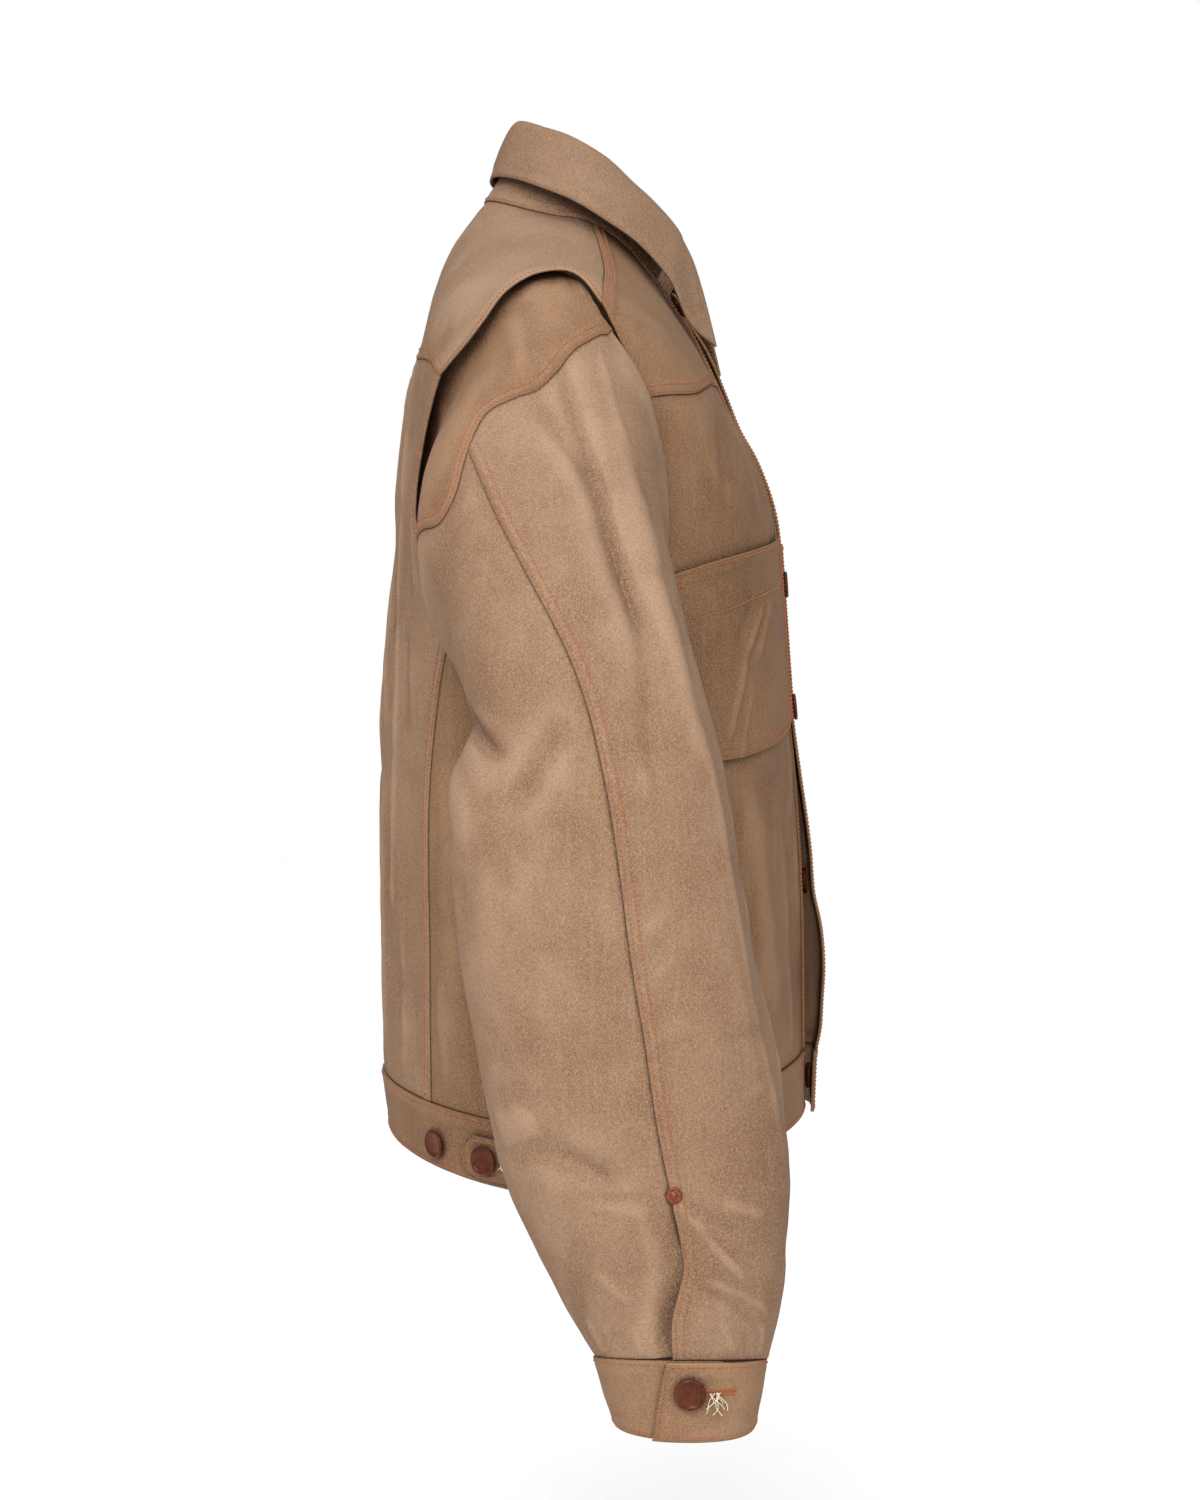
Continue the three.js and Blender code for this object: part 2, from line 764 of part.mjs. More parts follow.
// Point of a hanging ring, out being the distance from the centre plane
function ringPoint(r, turn) {
  const angle = THREE.MathUtils.degToRad(turn);
  const c = Math.cos(angle);
  const s = Math.sin(angle);
  const radius = (Math.abs(s) ** SLEEVE_SQUARE + Math.abs(c) ** SLEEVE_SQUARE) ** (-1 / SLEEVE_SQUARE);
  const depth = s > 0 ? r.front : r.back;
  return vec(r.out + r.reach * radius * c, r.y - depth * radius * s, r.z + r.drop * radius * c);
}

function sleeveRing(k, turn) {
  if (k >= 2) return ringPoint(SLEEVE[Math.min(k, SLEEVE_END) - 2], turn);
  const [u, v, rise] = k < 1 ? sleeveTop(turn) : sleeveMouth(turn);
  return bodyBase(u, v).addScaledVector(facing(bodyBase, u, v, BODY_FEEL), rise);
}

// Plain sleeve at a turn in degrees and a whole or broken ring number
function sleeveBase(turn, ring) {
  const i = clamp(Math.floor(ring), 0, SLEEVE_END - 1);
  const at = (k) => sleeveRing(clamp(k, 0, SLEEVE_END), turn);
  const [a, b, c, d] = [at(i - 1), at(i), at(i + 1), at(i + 2)];
  const t = ring - i;
  return vec(...['x', 'y', 'z'].map((n) => spline4(a[n], b[n], c[n], d[n], t)));
}

function sleevePoint(side, turn, ring, height) {
  const base = sleeveBase(turn, ring);
  const out = facing(sleeveBase, turn, ring, SLEEVE_FEEL).negate();
  const calm = smooth(1.8, 3, ring) * (1 - smooth(SLEEVE_END - 0.7, SLEEVE_END, ring));
  const round = ((((turn + 180) % 360) + 360) % 360) - 180;
  const degree = SLEEVE_GIRTH / 360;
  let relief = 0;
  for (const shift of [0, 360, -360]) {
    relief += foldHeight(SLEEVE_FOLDS, round + shift, ring, degree, SLEEVE_RING_STEP);
  }
  const p = base.addScaledVector(out, height + calm * relief);
  return vec(side * p.x, p.y, p.z);
}

function sleeveStretch(side, grid, map, dip = () => 0) {
  return stretch(side, grid, (a, b, h) => {
    const [turn, ring] = map(a, b);
    return sleevePoint(side, turn, ring, h * WALL - dip(turn, ring));
  });
}

// Lines of the body's map that panels share
const neckLine = (from, to) => (t) => [from + (to - from) * t, 0];
const shoulderSeam = through([[SHOULDER_AT_NECK, 0], ...SHOULDER_SEAM.map(([y, z]) => seenAt(y, z))]);
const freeEdge = FREE_EDGE.map(([y, z]) => seenAt(y, z));
const yokeFreeEdge = through(freeEdge.slice(0, YOKE_CORNER + 1));
const backFreeEdge = through(freeEdge.slice(YOKE_CORNER));
const backYokeSeam = through([
  heightAt(1, BACK_YOKE_Z),
  ...YOKE_SEAM_INNER.map(([y, z]) => seenAt(y, z)),
  freeEdge[YOKE_CORNER],
]);
const sideBackSeam = through([
  freeEdge[freeEdge.length - 1],
  ...SIDE_BACK_SEAM.slice(0, -1).map(([y, z]) => seenAt(y, z)),
  [seenAt(...SIDE_BACK_SEAM[SIDE_BACK_SEAM.length - 1])[0], WAIST_SEAM],
]);
const SIDE_BACK_FOOT = sideBackSeam(1)[0];
const frontOpen = (v) => lookUp(FRONT_OPEN, 'ring', 'out', v);
const placketAt = (out, v) => [acrossAt(out + frontOpen(v), v), v];
const placketLine = (v0, v1) => (t) => placketAt(PLACKET_HALF, v0 + (v1 - v0) * t);
const yokePlacketV = frontAt(PLACKET_HALF, FRONT_YOKE_Z)[1];
const frontYokeSeam = through([
  placketLine(yokePlacketV, WAIST_SEAM)(0),
  ...FRONT_YOKE_SEAM.map(([out, z]) => frontAt(out, z)),
  armhole(FRONT_YOKE_TURN),
]);
const armholeLine = (from, to) => (t) => armhole(from + (to - from) * t);
const reversed = (line) => (t) => line(1 - t);

const waistLine = (from, to) => (t) => [from + (to - from) * t, WAIST_SEAM];
const bothSides = (make) => SIDES.map(([word, side]) => make(word, side));

function backYoke() {
  const low = joined(yokeFreeEdge, reversed(backYokeSeam), GRID.backYoke.edge / GRID.backYoke.cols);
  const middle = through([[1, 0], heightAt(1, CENTRE_BACK_Z[0]), heightAt(1, BACK_YOKE_Z)]);
  const map = fill(neckLine(SHOULDER_AT_NECK, 1), low, shoulderSeam, middle);
  const halves = SIDES.map(([, side]) => bodyStretch(side, GRID.backYoke, map, { overSleeve: true }));
  return cloth('back_yoke', halves, CANVAS_TAN);
}

function backPanel() {
  const edge = joined(backFreeEdge, sideBackSeam, GRID.backPanel.edge / GRID.backPanel.rows);
  const middle = through([heightAt(1, BACK_YOKE_Z), heightAt(1, CENTRE_BACK_Z[1]), [1, WAIST_SEAM]]);
  const map = fill(reversed(backYokeSeam), waistLine(SIDE_BACK_FOOT, 1), edge, middle);
  const halves = SIDES.map(([, side]) => bodyStretch(side, GRID.backPanel, map, { overSleeve: true }));
  return cloth('back_panel', halves, CANVAS_TAN);
}

function frontYoke(word, side) {
  const neckShare = GRID.frontYoke.edge / GRID.frontYoke.rows;
  const neckEnd = placketAt(PLACKET_HALF, 0)[0];
  const inner = joined(neckLine(SHOULDER_AT_NECK, neckEnd), placketLine(0, yokePlacketV), neckShare);
  const map = fill(shoulderSeam, frontYokeSeam, inner, armholeLine(SHOULDER_TURN, FRONT_YOKE_TURN));
  return cloth(`front_yoke_${word}`, [bodyStretch(side, GRID.frontYoke, map)], CANVAS_TAN);
}

function frontPanel(word, side) {
  const foot = [FRONT_LINE_FOOT, WAIST_SEAM];
  const head = armhole(FRONT_LINE_TURN);
  const frontLine = through([head, heightAt((head[0] + foot[0]) / 2, FRONT_LINE_Z), foot]);
  const edgeShare = GRID.frontPanel.edge / GRID.frontPanel.rows;
  const front = fill(
    frontYokeSeam,
    waistLine(acrossAt(PLACKET_HALF, WAIST_SEAM), FRONT_LINE_FOOT),
    placketLine(yokePlacketV, WAIST_SEAM),
    joined(armholeLine(FRONT_YOKE_TURN, FRONT_LINE_TURN), frontLine, edgeShare),
  );
  const under = fill(
    armholeLine(FRONT_LINE_TURN, UNDERARM_TURN),
    waistLine(FRONT_LINE_FOOT, SIDE_BACK_FOOT),
    frontLine,
    sideBackSeam,
  );
  const parts = [bodyStretch(side, GRID.frontPanel, front), bodyStretch(side, GRID.underarm, under)];
  return cloth(`front_panel_${word}`, parts, CANVAS_TAN);
}

function placket(word, side) {
  const map = (a, b) => placketAt(PLACKET_HALF * (1 - 2 * a), b * WAIST_SEAM);
  return cloth(`placket_${word}`, [bodyStretch(side, GRID.placket, map)], CANVAS_TAN);
}

function waistband() {
  const map = (a, b) => {
    const v = WAIST_SEAM + b * (HEM - WAIST_SEAM);
    const start = acrossAt(-PLACKET_HALF, v);
    return [start + (1 - start) * a, v];
  };
  const halves = SIDES.map(([, side]) => bodyStretch(side, GRID.waistband, map, { wall: DOUBLE_WALL }));
  return cloth('waistband', halves, CANVAS_DARK);
}

function chestPocket(word, side) {
  const line = (points) => through(points.map(([out, z]) => frontAt(out, z)));
  const { front, back, topFront, topBack, bottomFront, bottomBack, clip, rise, sag } = POCKET;
  const backFoot = bottomBack + clip;
  const map = fill(
    line([[front, topFront], [(front + back) / 2, (topFront + topBack) / 2 + rise], [back, topBack]]),
    line([
      [front, bottomFront],
      [front + clip / 2, bottomFront - clip / 2],
      [(front + back) / 2, (bottomFront + bottomBack - clip) / 2],
      [back - clip * 0.65, bottomBack - sag],
      [back, backFoot],
    ]),
    line([[front, topFront], [front, bottomFront]]),
    line([[back, topBack], [back, backFoot]]),
  );
  const part = bodyStretch(side, GRID.pocket, map, { lift: POCKET_LIFT });
  return cloth(`chest_pocket_${word}`, [part], CANVAS_DARK);
}

function adjusterTab(word, side) {
  const depth = HEM - WAIST_SEAM;
  const halfDepth = TAB.half / WAISTBAND_HEIGHT * depth;
  const middle = WAIST_SEAM + depth / 2;
  const tip = seenAt(TAB.tip, TAB.z)[0];
  const root = seenAt(TAB.root, TAB.z)[0];
  const map = (a, b) => {
    const nearTip = clamp((1 - a) / TAB.corner, 0, 1);
    const shape = TAB.tipShare + (1 - TAB.tipShare) * nearTip;
    return [root + (tip - root) * a, middle + halfDepth * shape * (2 * b - 1)];
  };
  const over = { lift: DOUBLE_WALL + LAP_GAP, wall: DOUBLE_WALL };
  return cloth(`adjuster_tab_${word}`, [bodyStretch(side, GRID.tab, map, over)], CANVAS_DARK);
}

// Sleeve lines: turn and ring number
const capSeam = (t) => {
  const turn = CAP_SEAM[0].turn - CAP_TURNS * t;
  return [turn, lookUp(CAP_SEAM, 'turn', 'ring', turn)];
};
const capHalf = (half) => (t) => capSeam((half + t) / 2);
const outerSeam = through(
  [capSeam(0.5), ...OUTER_SEAM.slice(1).map((row) => [row.turn, row.ring])],
  SLEEVE_GIRTH / 360,
  RING_STEP,
);
const slitSeam = (t) => {
  const [turn, ring] = outerSeam(t);
  return [turn + smooth(SLIT_TOP + 0.5, SLIT_TOP + 1.1, ring) * SLIT_UNDER, ring];
};
const slitDip = (turn, ring) => {
  const past = turn - lookUp(OUTER_SEAM, 'ring', 'turn', ring);
  return lookUp(SLIT_DIP, 'ring', 'depth', ring) * smooth(-SLIT_FADE, 0, past);
};
const straight = (p, q) => (t) => [p[0] + (q[0] - p[0]) * t, p[1] + (q[1] - p[1]) * t];

function sleeveFront(word, side) {
  const { cols, edge } = GRID.sleeveFront;
  const under = straight([INNER_SEAM_TURN, 0], [TOP_TURN, 0]);
  const low = joined(under, straight([TOP_TURN, 0], capSeam(0)), (edge - 1) / edge);
  const top = joined(low, capHalf(0), edge / cols);
  const map = fill(
    top,
    straight([INNER_SEAM_TURN, SLEEVE_END], outerSeam(1)),
    straight([INNER_SEAM_TURN, 0], [INNER_SEAM_TURN, SLEEVE_END]),
    outerSeam,
  );
  return cloth(`sleeve_front_${word}`, [sleeveStretch(side, GRID.sleeveFront, map)], CANVAS_TAN);
}

function sleeveBack(word, side) {
  const inner = INNER_SEAM_TURN - 360;
  const edgeShare = GRID.sleeveBack.edge / GRID.sleeveBack.cols;
  const top = joined(capHalf(1), straight(capSeam(1), [inner, 0]), edgeShare);
  const map = fill(
    top,
    straight(slitSeam(1), [inner, SLEEVE_END]),
    slitSeam,
    straight([inner, 0], [inner, SLEEVE_END]),
  );
  return cloth(`sleeve_back_${word}`, [sleeveStretch(side, GRID.sleeveBack, map, slitDip)], CANVAS_TAN);
}

function shoulderGusset(word, side) {
  const map = (a, b) => {
    const [turn, ring] = capSeam(clamp(a, GUSSET_TRIM, 1 - GUSSET_TRIM));
    return [turn, ring * b];
  };
  return cloth(`shoulder_gusset_${word}`, [sleeveStretch(side, GRID.cap, map)], CANVAS_TAN);
}

function cuffPoint(side, turn, part, height) {
  const at = (p, q) => ringPoint(rowAt(CUFF, q * (CUFF.length - 1)), p);
  const base = at(turn, part);
  const out = facing(at, turn, part, SLEEVE_FEEL).negate();
  const p = base.addScaledVector(out, height);
  return vec(side * p.x, p.y, p.z);
}

function cuff(word, side) {
  const place = (a, b, h) => {
    const [atTop, atFoot] = CUFF_OVER_END;
    const gone = a * (360 + CUFF_UNDER_END - atTop - (atFoot - atTop) * b);
    const lift = CUFF_LIFT * smooth(360 - CUFF_STEP, 360, gone);
    return cuffPoint(side, CUFF_UNDER_END - gone, b, lift + h * DOUBLE_WALL);
  };
  return cloth(`cuff_${word}`, [stretch(side, GRID.cuff, place)], CANVAS_DARK);
}

// The collar's first row mirrored, so that its lines cross the centre back squarely
const COLLAR_BACK = {
  ...COLLAR[1],
  neck: 2 - COLLAR[1].neck,
  foldOut: -COLLAR[1].foldOut,
  edgeOut: -COLLAR[1].edgeOut,
};
const COLLAR_ROWS = [COLLAR_BACK, ...COLLAR];

// Points of the collar's neck seam, fold and free edge at a part of its length from the centre back
function collarAt(side, t) {
  const row = rowAt(COLLAR_ROWS, 1 + t * (COLLAR.length - 1));
  return {
    neck: bodyPoint(side, row.neck, 0, WALL + LAP_GAP),
    fold: vec(side * row.foldOut, row.foldY, row.foldZ),
    edge: vec(side * row.edgeOut, row.edgeY, row.edgeZ),
  };
}

function collarStandBase(side, t, b) {
  const { neck, fold } = collarAt(side, t);
  return neck.lerp(fold, b).addScaledVector(foldOutward(side, t), -STAND_HOLLOW * Math.sin(Math.PI * b));
}

// Level direction away from the neck at the fold
function foldOutward(side, t) {
  const step = 0.02;
  const way = collarAt(side, Math.min(1, t + step)).fold.sub(collarAt(side, t - step).fold);
  return vec(way.y, -way.x, 0).multiplyScalar(-side).normalize();
}

function collarFallBase(side, t, b) {
  const { fold, edge } = collarAt(side, t);
  const outward = foldOutward(side, t);
  const start = fold.clone().addScaledVector(outward, WALL + LAP_GAP);
  const bulge = fold.clone().addScaledVector(outward, COLLAR_ROLL).add(vec(0, 0, COLLAR_ROLL_RISE));
  return start
    .multiplyScalar((1 - b) ** 2)
    .addScaledVector(bulge, 2 * b * (1 - b))
    .addScaledVector(edge, b * b);
}

// Wall on a base surface whose outside looks away from the neck
function collarStretch(side, base, grid, end) {
  return stretch(side, grid, (a, b, h) => {
    const q = end * b;
    const surface = (s, t) => base(side, s, t);
    const out = facing(surface, Math.min(a, 1 - COLLAR_FEEL[0]), q, COLLAR_FEEL).multiplyScalar(side);
    const p = surface(a, q).addScaledVector(out, h * WALL);
    if (a === 0) p.x = 0;
    return p;
  });
}

function collarStand() {
  const halves = SIDES.map(([, side]) => collarStretch(side, collarStandBase, GRID.stand, STAND_TOP));
  return cloth('collar_stand', halves, CANVAS_TAN);
}

function collarFall() {
  const halves = SIDES.map(([, side]) => collarStretch(side, collarFallBase, GRID.fall, 1));
  return cloth('collar_fall', halves, CANVAS_TAN);
}

// Round piece standing on a spot of cloth
function turned(name, profile, spot, out, colour, metalness) {
  const geometry = new THREE.LatheGeometry(profile.map(([r, h]) => new THREE.Vector2(r, h)), BUTTON_SIDES);
  const material = new THREE.MeshStandardMaterial({ color: colour, roughness: 0.3, metalness });
  const mesh = new THREE.Mesh(geometry, material);
  mesh.name = name;
  mesh.position.copy(spot).addScaledVector(out, BUTTON_GAP);
  mesh.quaternion.setFromUnitVectors(vec(0, 1, 0), out);
  return mesh;
}

function button(name, spot, out) {
  const floor = BUTTON_HEIGHT - BUTTON_DISH;
  const profile = [
    [0, 0],
    [BUTTON_FOOT, 0],
    [BUTTON_RADIUS, BUTTON_HEIGHT * 0.45],
    [BUTTON_RADIUS - BUTTON_RIM / 5, BUTTON_HEIGHT * 0.9],
    [BUTTON_RADIUS - BUTTON_RIM * 0.7, BUTTON_HEIGHT],
    [BUTTON_RADIUS - BUTTON_RIM * 1.4, floor],
    [0, floor],
  ];
  return turned(name, profile, spot, out, BUTTON_BROWN, 0);
}

function rivet(name, spot, out) {
  const profile = [
    [0, 0],
    [RIVET_RADIUS, 0],
    [RIVET_RADIUS, RIVET_HEIGHT * 0.5],
    [RIVET_RADIUS * 0.5, RIVET_HEIGHT],
    [0, RIVET_HEIGHT],
  ];
  return turned(name, profile, spot, out, COPPER, 0.8);
}

// A spot on the body and its outward direction
function bodySpot(side, u, v, height) {
  const spot = bodyPoint(side, u, v, height);
  const [du, dv] = BODY_FEEL;
  const across = bodyPoint(side, u + du, v, height).sub(bodyPoint(side, u - du, v, height));
  const down = bodyPoint(side, u, v + dv, height).sub(bodyPoint(side, u, v - dv, height));
  return [spot, down.cross(across).multiplyScalar(side).normalize()];
}

function frontButtons() {
  return FRONT_BUTTONS.map(({ z, fastened }, i) => {
    const [u, v] = placketAt(0, heightAt(0, z)[1]);
    const wall = v > WAIST_SEAM ? DOUBLE_WALL : WALL;
    return button(`front_button_${i + 1}`, ...bodySpot(fastened ? LEFT : RIGHT, u, v, wall));
  });
}

function tabButtons(word, side) {
  return TAB_BUTTONS.map(({ y, z, onTab }, i) => {
    const layers = onTab ? 2 * DOUBLE_WALL + LAP_GAP : DOUBLE_WALL;
    return button(`waist_button_${word}_${i + 1}`, ...bodySpot(side, ...seenAt(y, z), layers));
  });
}

function cuffButton(word, side) {
  const spot = cuffPoint(side, CUFF_BUTTON_TURN, CUFF_BUTTON_PART, CUFF_LIFT + DOUBLE_WALL);
  const low = cuffPoint(side, CUFF_BUTTON_TURN, CUFF_BUTTON_PART, 0);
  return button(`cuff_button_${word}`, spot, spot.clone().sub(low).normalize());
}

function slitRivet(word, side) {
  const [turn, ring] = [lookUp(OUTER_SEAM, 'ring', 'turn', SLIT_TOP) + RIVET_TURN, SLIT_TOP];
  const spot = sleevePoint(side, turn, ring, WALL);
  const out = spot.clone().sub(sleevePoint(side, turn, ring, 0)).normalize();
  return rivet(`slit_rivet_${word}`, spot, out);
}

const jacket = new THREE.Group();
jacket.add(
  backYoke(),
  backPanel(),
  ...bothSides(frontYoke),
  ...bothSides(frontPanel),
  ...bothSides(placket),
  ...bothSides(chestPocket),
  waistband(),
  ...bothSides(adjusterTab),
  ...bothSides(sleeveFront),
  ...bothSides(sleeveBack),
  ...bothSides(shoulderGusset),
  ...bothSides(cuff),
  collarStand(),
  collarFall(),
  ...frontButtons(),
  ...bothSides(tabButtons).flat(),
  ...bothSides(cuffButton),
  ...bothSides(slitRivet),
);

export default jacket;
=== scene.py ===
import math

import bpy
import numpy as np
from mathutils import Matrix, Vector, kdtree, noise
from mathutils.bvhtree import BVHTree


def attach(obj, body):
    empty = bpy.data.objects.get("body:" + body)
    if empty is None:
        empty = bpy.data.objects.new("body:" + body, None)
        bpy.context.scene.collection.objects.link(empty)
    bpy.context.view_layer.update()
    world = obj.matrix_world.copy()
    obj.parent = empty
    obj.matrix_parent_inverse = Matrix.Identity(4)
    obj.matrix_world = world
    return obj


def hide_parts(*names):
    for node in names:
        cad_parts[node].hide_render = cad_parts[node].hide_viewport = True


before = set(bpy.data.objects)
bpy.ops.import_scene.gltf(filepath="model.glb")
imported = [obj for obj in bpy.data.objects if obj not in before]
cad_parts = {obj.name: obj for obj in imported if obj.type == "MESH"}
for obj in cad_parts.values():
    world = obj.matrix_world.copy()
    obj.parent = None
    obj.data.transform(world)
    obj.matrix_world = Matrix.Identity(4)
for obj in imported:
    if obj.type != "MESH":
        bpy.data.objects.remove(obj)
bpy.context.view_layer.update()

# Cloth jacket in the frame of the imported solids. Millimetres until a mesh is made.
# The front faces -Y, the wearer's left is +X, up is +Z.
MM = 0.001

# Meshes: points nearer than this are one point, and distances from edges are kept up to a reach
WELD_DISTANCE = 0.04
EDGE_REACH = 30
FAR_FROM_EDGES = 99.0
EDGE_DOT_STEP = 0.6
TRACE_POINTS = 160
BODY_STEP = (0.004, 0.02)
TURN_STEP = (1, 0.02)

# Cloth
WALL = 1.4
DOUBLE_WALL = 2.2
LAP_GAP = 0.45
# A lapped edge stands higher, an edge beneath lies lower; the steps are distances from the edge
LAP_RISE = 0.45
LAP_STEP = (5.8, 9.3)
UNDER_DROP = 0.25
UNDER_STEP = (3.0, 6.0)

# Front opening
PLACKET_HALF = 19.0
LAP_LIFT = WALL + LAP_GAP
LAP_FADE = 70.0

# Thread and rows of stitches
STITCH = 2.0
STITCH_PITCH = 2.55
THREAD = 0.3
ROW_NEAR = 2.0
ROW_FAR = 6.1
POCKET_ROWS = (2.2, 6.4)
TAB_ROW = 2.6
ROW_DOT_STEP = 1.1
THREAD_SIDES = 5
BAR_PITCH = 0.62
HOLE_LENGTH = 21.0
HOLE_WIDTH = 2.0
HOLE_OFFSET = 3.0
HOLE_THREAD = 0.26
HOLE_STITCH = 1.5
HOLE_BAR = 1.4
TACK_LENGTH = 2.6
POCKET_TACK = (0.6, 9.5)
POCKET_TACK_DROP = 3

# Frayed ends: radius, number and length at the cuff and at the tab, and how far the tab's lie from its button
FRAY_THREAD = 0.2
CUFF_FRAY = (9, 13)
TAB_FRAY = (6, 7)
TAB_FRAY_AWAY = 11

# Height of buttons and rivets over the cloth
BUTTON_GAP = 0.55

RIGHT, LEFT = -1, 1
SIDES = (("right", RIGHT), ("left", LEFT))

# Flat maps: half the girth of the body, girth of a sleeve, distance from ring to ring
HALF_GIRTH = 520.0
RING_STEP = 55.0
SLEEVE_GIRTH = 430.0
SLEEVE_RING_STEP = 58
# Squareness of the sleeve's rings, and how sharply the body's rings bend in height away from the side
SLEEVE_SQUARE = 2.2
RING_BEND = 1.6
# The free edge stands off by a height, over a width, between parts of its length
FREE_EDGE_RISE = 3.4
FREE_EDGE_FADE = 34.0
FREE_EDGE_ENDS = (0.12, 0.9)
# Parts of a fold's line over which it rises and ends
FOLD_START = (-0.12, 0.25)
FOLD_STOP = (0.75, 1.12)
# Search on the body's map: columns, rows per ring, rounds, steps for the slopes, longest moves
GRID_COLUMNS = 40
GRID_ROWS = 4
SEARCH_ROUNDS = 12
SLOPE_STEP = (1e-4, 1e-3)
LONGEST_MOVE = (0.02, 0.3)
HALVINGS = 40
ACROSS_ROUNDS = 20

# Rings of the body: z front, side, back; y front, side, back; half width; squareness
BODY = np.array([
    [-51, -1, 23, -52, 12, 72, 76, 2.0],
    [-77, -24, -8, -65, 9, 92, 118, 2.05],
    [-99, -44, -42, -75, 7, 103, 162, 2.1],
    [-122, -63, -80, -85, 8, 110, 200, 2.15],
    [-146, -95, -115, -98, 10, 115, 209, 2.2],
    [-180, -150, -160, -109, 10, 121, 205, 2.2],
    [-225, -215, -215, -113, 10, 126, 199, 2.25],
    [-285, -285, -285, -117, 8, 129, 196, 2.3],
    [-350, -352, -350, -123, 5, 134, 194, 2.25],
    [-425, -430, -425, -127, 2, 134, 188, 2.2],
    [-514, -541, -523, -128, 0, 134, 178, 2.15],
    [-552, -580, -558, -128, 0, 130, 176, 2.1],
])
WAIST_SEAM = 10
HEM = 11

# How far the left front stands out where it is unfastened: height, distance
LEFT_FLARE = np.array([
    [-560, 4], [-532, 5], [-515, 6], [-500, 9], [-485, 10], [-460, 11.5], [-437, 10], [-415, 6],
    [-385, 5], [-335, 1.5], [-300, 0.3], [-130, 0.3], [-95, 2], [-70, 3.5], [-50, 2.5],
])

# How far the middle of each placket lies from the centre plane: ring, distance
FRONT_OPEN = np.array([
    [0, 46], [1, 36], [2, 28], [3, 20], [4, 12], [5, 4.5], [6, 0.5], [6.6, 0], [11, 0],
])

# Round the armhole. Front edge: turn, y, z. Sleeve top and mouth: turn, y, z, rise.
ARMHOLE_EDGE = np.array([
    [36, -15, -76], [60, -36, -125], [90, -46, -185], [120, -40, -238],
    [150, -16, -275], [180, 12, -289], [210, 44, -280], [234, 72, -254],
])
SLEEVE_TOP = np.array([
    [0, 24, -50, -2.6], [22, 0, -58, -2.6], [36, -10, -80, -2.2], [60, -33, -124, 0], [90, -43, -185, 0],
    [120, -37, -236, 0], [150, -13, -270, 0], [180, 12, -283.5, 0], [210, 41, -274, 0], [234, 65, -248, -2],
    [260, 101, -221, -2.6], [285, 107, -185, -2.6], [305, 103, -145, -2.6], [325, 88, -108, -2.6],
    [343, 58, -74, -2.6],
])
SLEEVE_MOUTH = np.array([
    [0, 14, -68, -2.4], [22, -8, -74, -2.0], [36, -16, -90, 2], [60, -36, -129, 9], [90, -45, -190, 10],
    [120, -39, -241, 9], [150, -15, -277, 6], [180, 12, -291, 5], [210, 42, -282, 5], [234, 64, -257, 3],
    [260, 83, -224, -2.6], [285, 89, -186, -2.8], [305, 85, -149, -2.8], [325, 71, -119, -2.8],
    [343, 44, -87, -2.6],
])

# Hanging rings of the sleeve and of the cuff: out, y, z, reach, drop, front, back
SLEEVE = np.array([
    [224, 16, -214, 22, 84, 66, 68],
    [248, 2, -262, 42, 50, 64, 62],
    [258, -12, -312, 50, 23, 65, 63],
    [262, -14, -358, 53, 9, 74, 74],
    [263, -21, -430, 53, 2, 77, 77],
    [262, -32, -490, 52, 0, 77, 77],
    [260, -42, -545, 50, 0, 76, 76],
    [259, -50, -588, 47, 2, 67, 67],
    [258, -56, -620, 44, 5, 58, 57],
    [258, -62, -649, 41, 8, 45, 45],
])
SLEEVE_END = len(SLEEVE) + 1
# Slit above the cuff: its back edge runs on beneath the front edge, by degrees of turn and by depth
SLIT_TOP = 8.2
SLIT_UNDER = 6
SLIT_WIDENS = (8.7, 9.3)
SLIT_FADE = 15
SLIT_DIP = np.array([[8.2, 0], [8.5, 2.8], [9.3, 4.2], [10.1, 6.5], [10.6, 5.5], [11, 2.9]])
CUFF = np.array([
    [258, -62, -649.5, 41, 8, 43, 45],
    [258, -64, -667, 38, 3, 39, 42],
    [258, -67, -683, 35, -1, 32, 39],
])
CUFF_UNDER_END = 30
CUFF_OVER_END = (-7, -26)
CUFF_LIFT = DOUBLE_WALL + LAP_GAP
CUFF_STEP = 62

# Seams of the sleeve
OUTER_SEAM = np.array([  # ring, turn
    [2.3, -36.5], [2.7, -30], [3.15, -20], [3.9, -3], [4.7, 7], [5.5, 11.5], [6.5, 12],
    [7.45, 10.5], [8.2, 11], [9.1, 12], [9.6, 8], [10.35, 0], [11, -4],
])
CAP_SEAM = np.array([  # turn, ring
    [47, 0.3], [43, 0.7], [36, 1.15], [24, 1.45], [16, 1.62], [8, 1.85], [0, 2.0], [-12, 2.06],
    [-26, 2.12], [-36.5, 2.3], [-48, 2.5], [-62, 2.5], [-74, 2.3], [-88, 1.9], [-104, 1.2], [-120, 0.4],
])
INNER_SEAM_TURN = 180
INNER_SEAM_BACK = INNER_SEAM_TURN - 360
TOP_TURN = 66
GUSSET_TRIM = 0.02

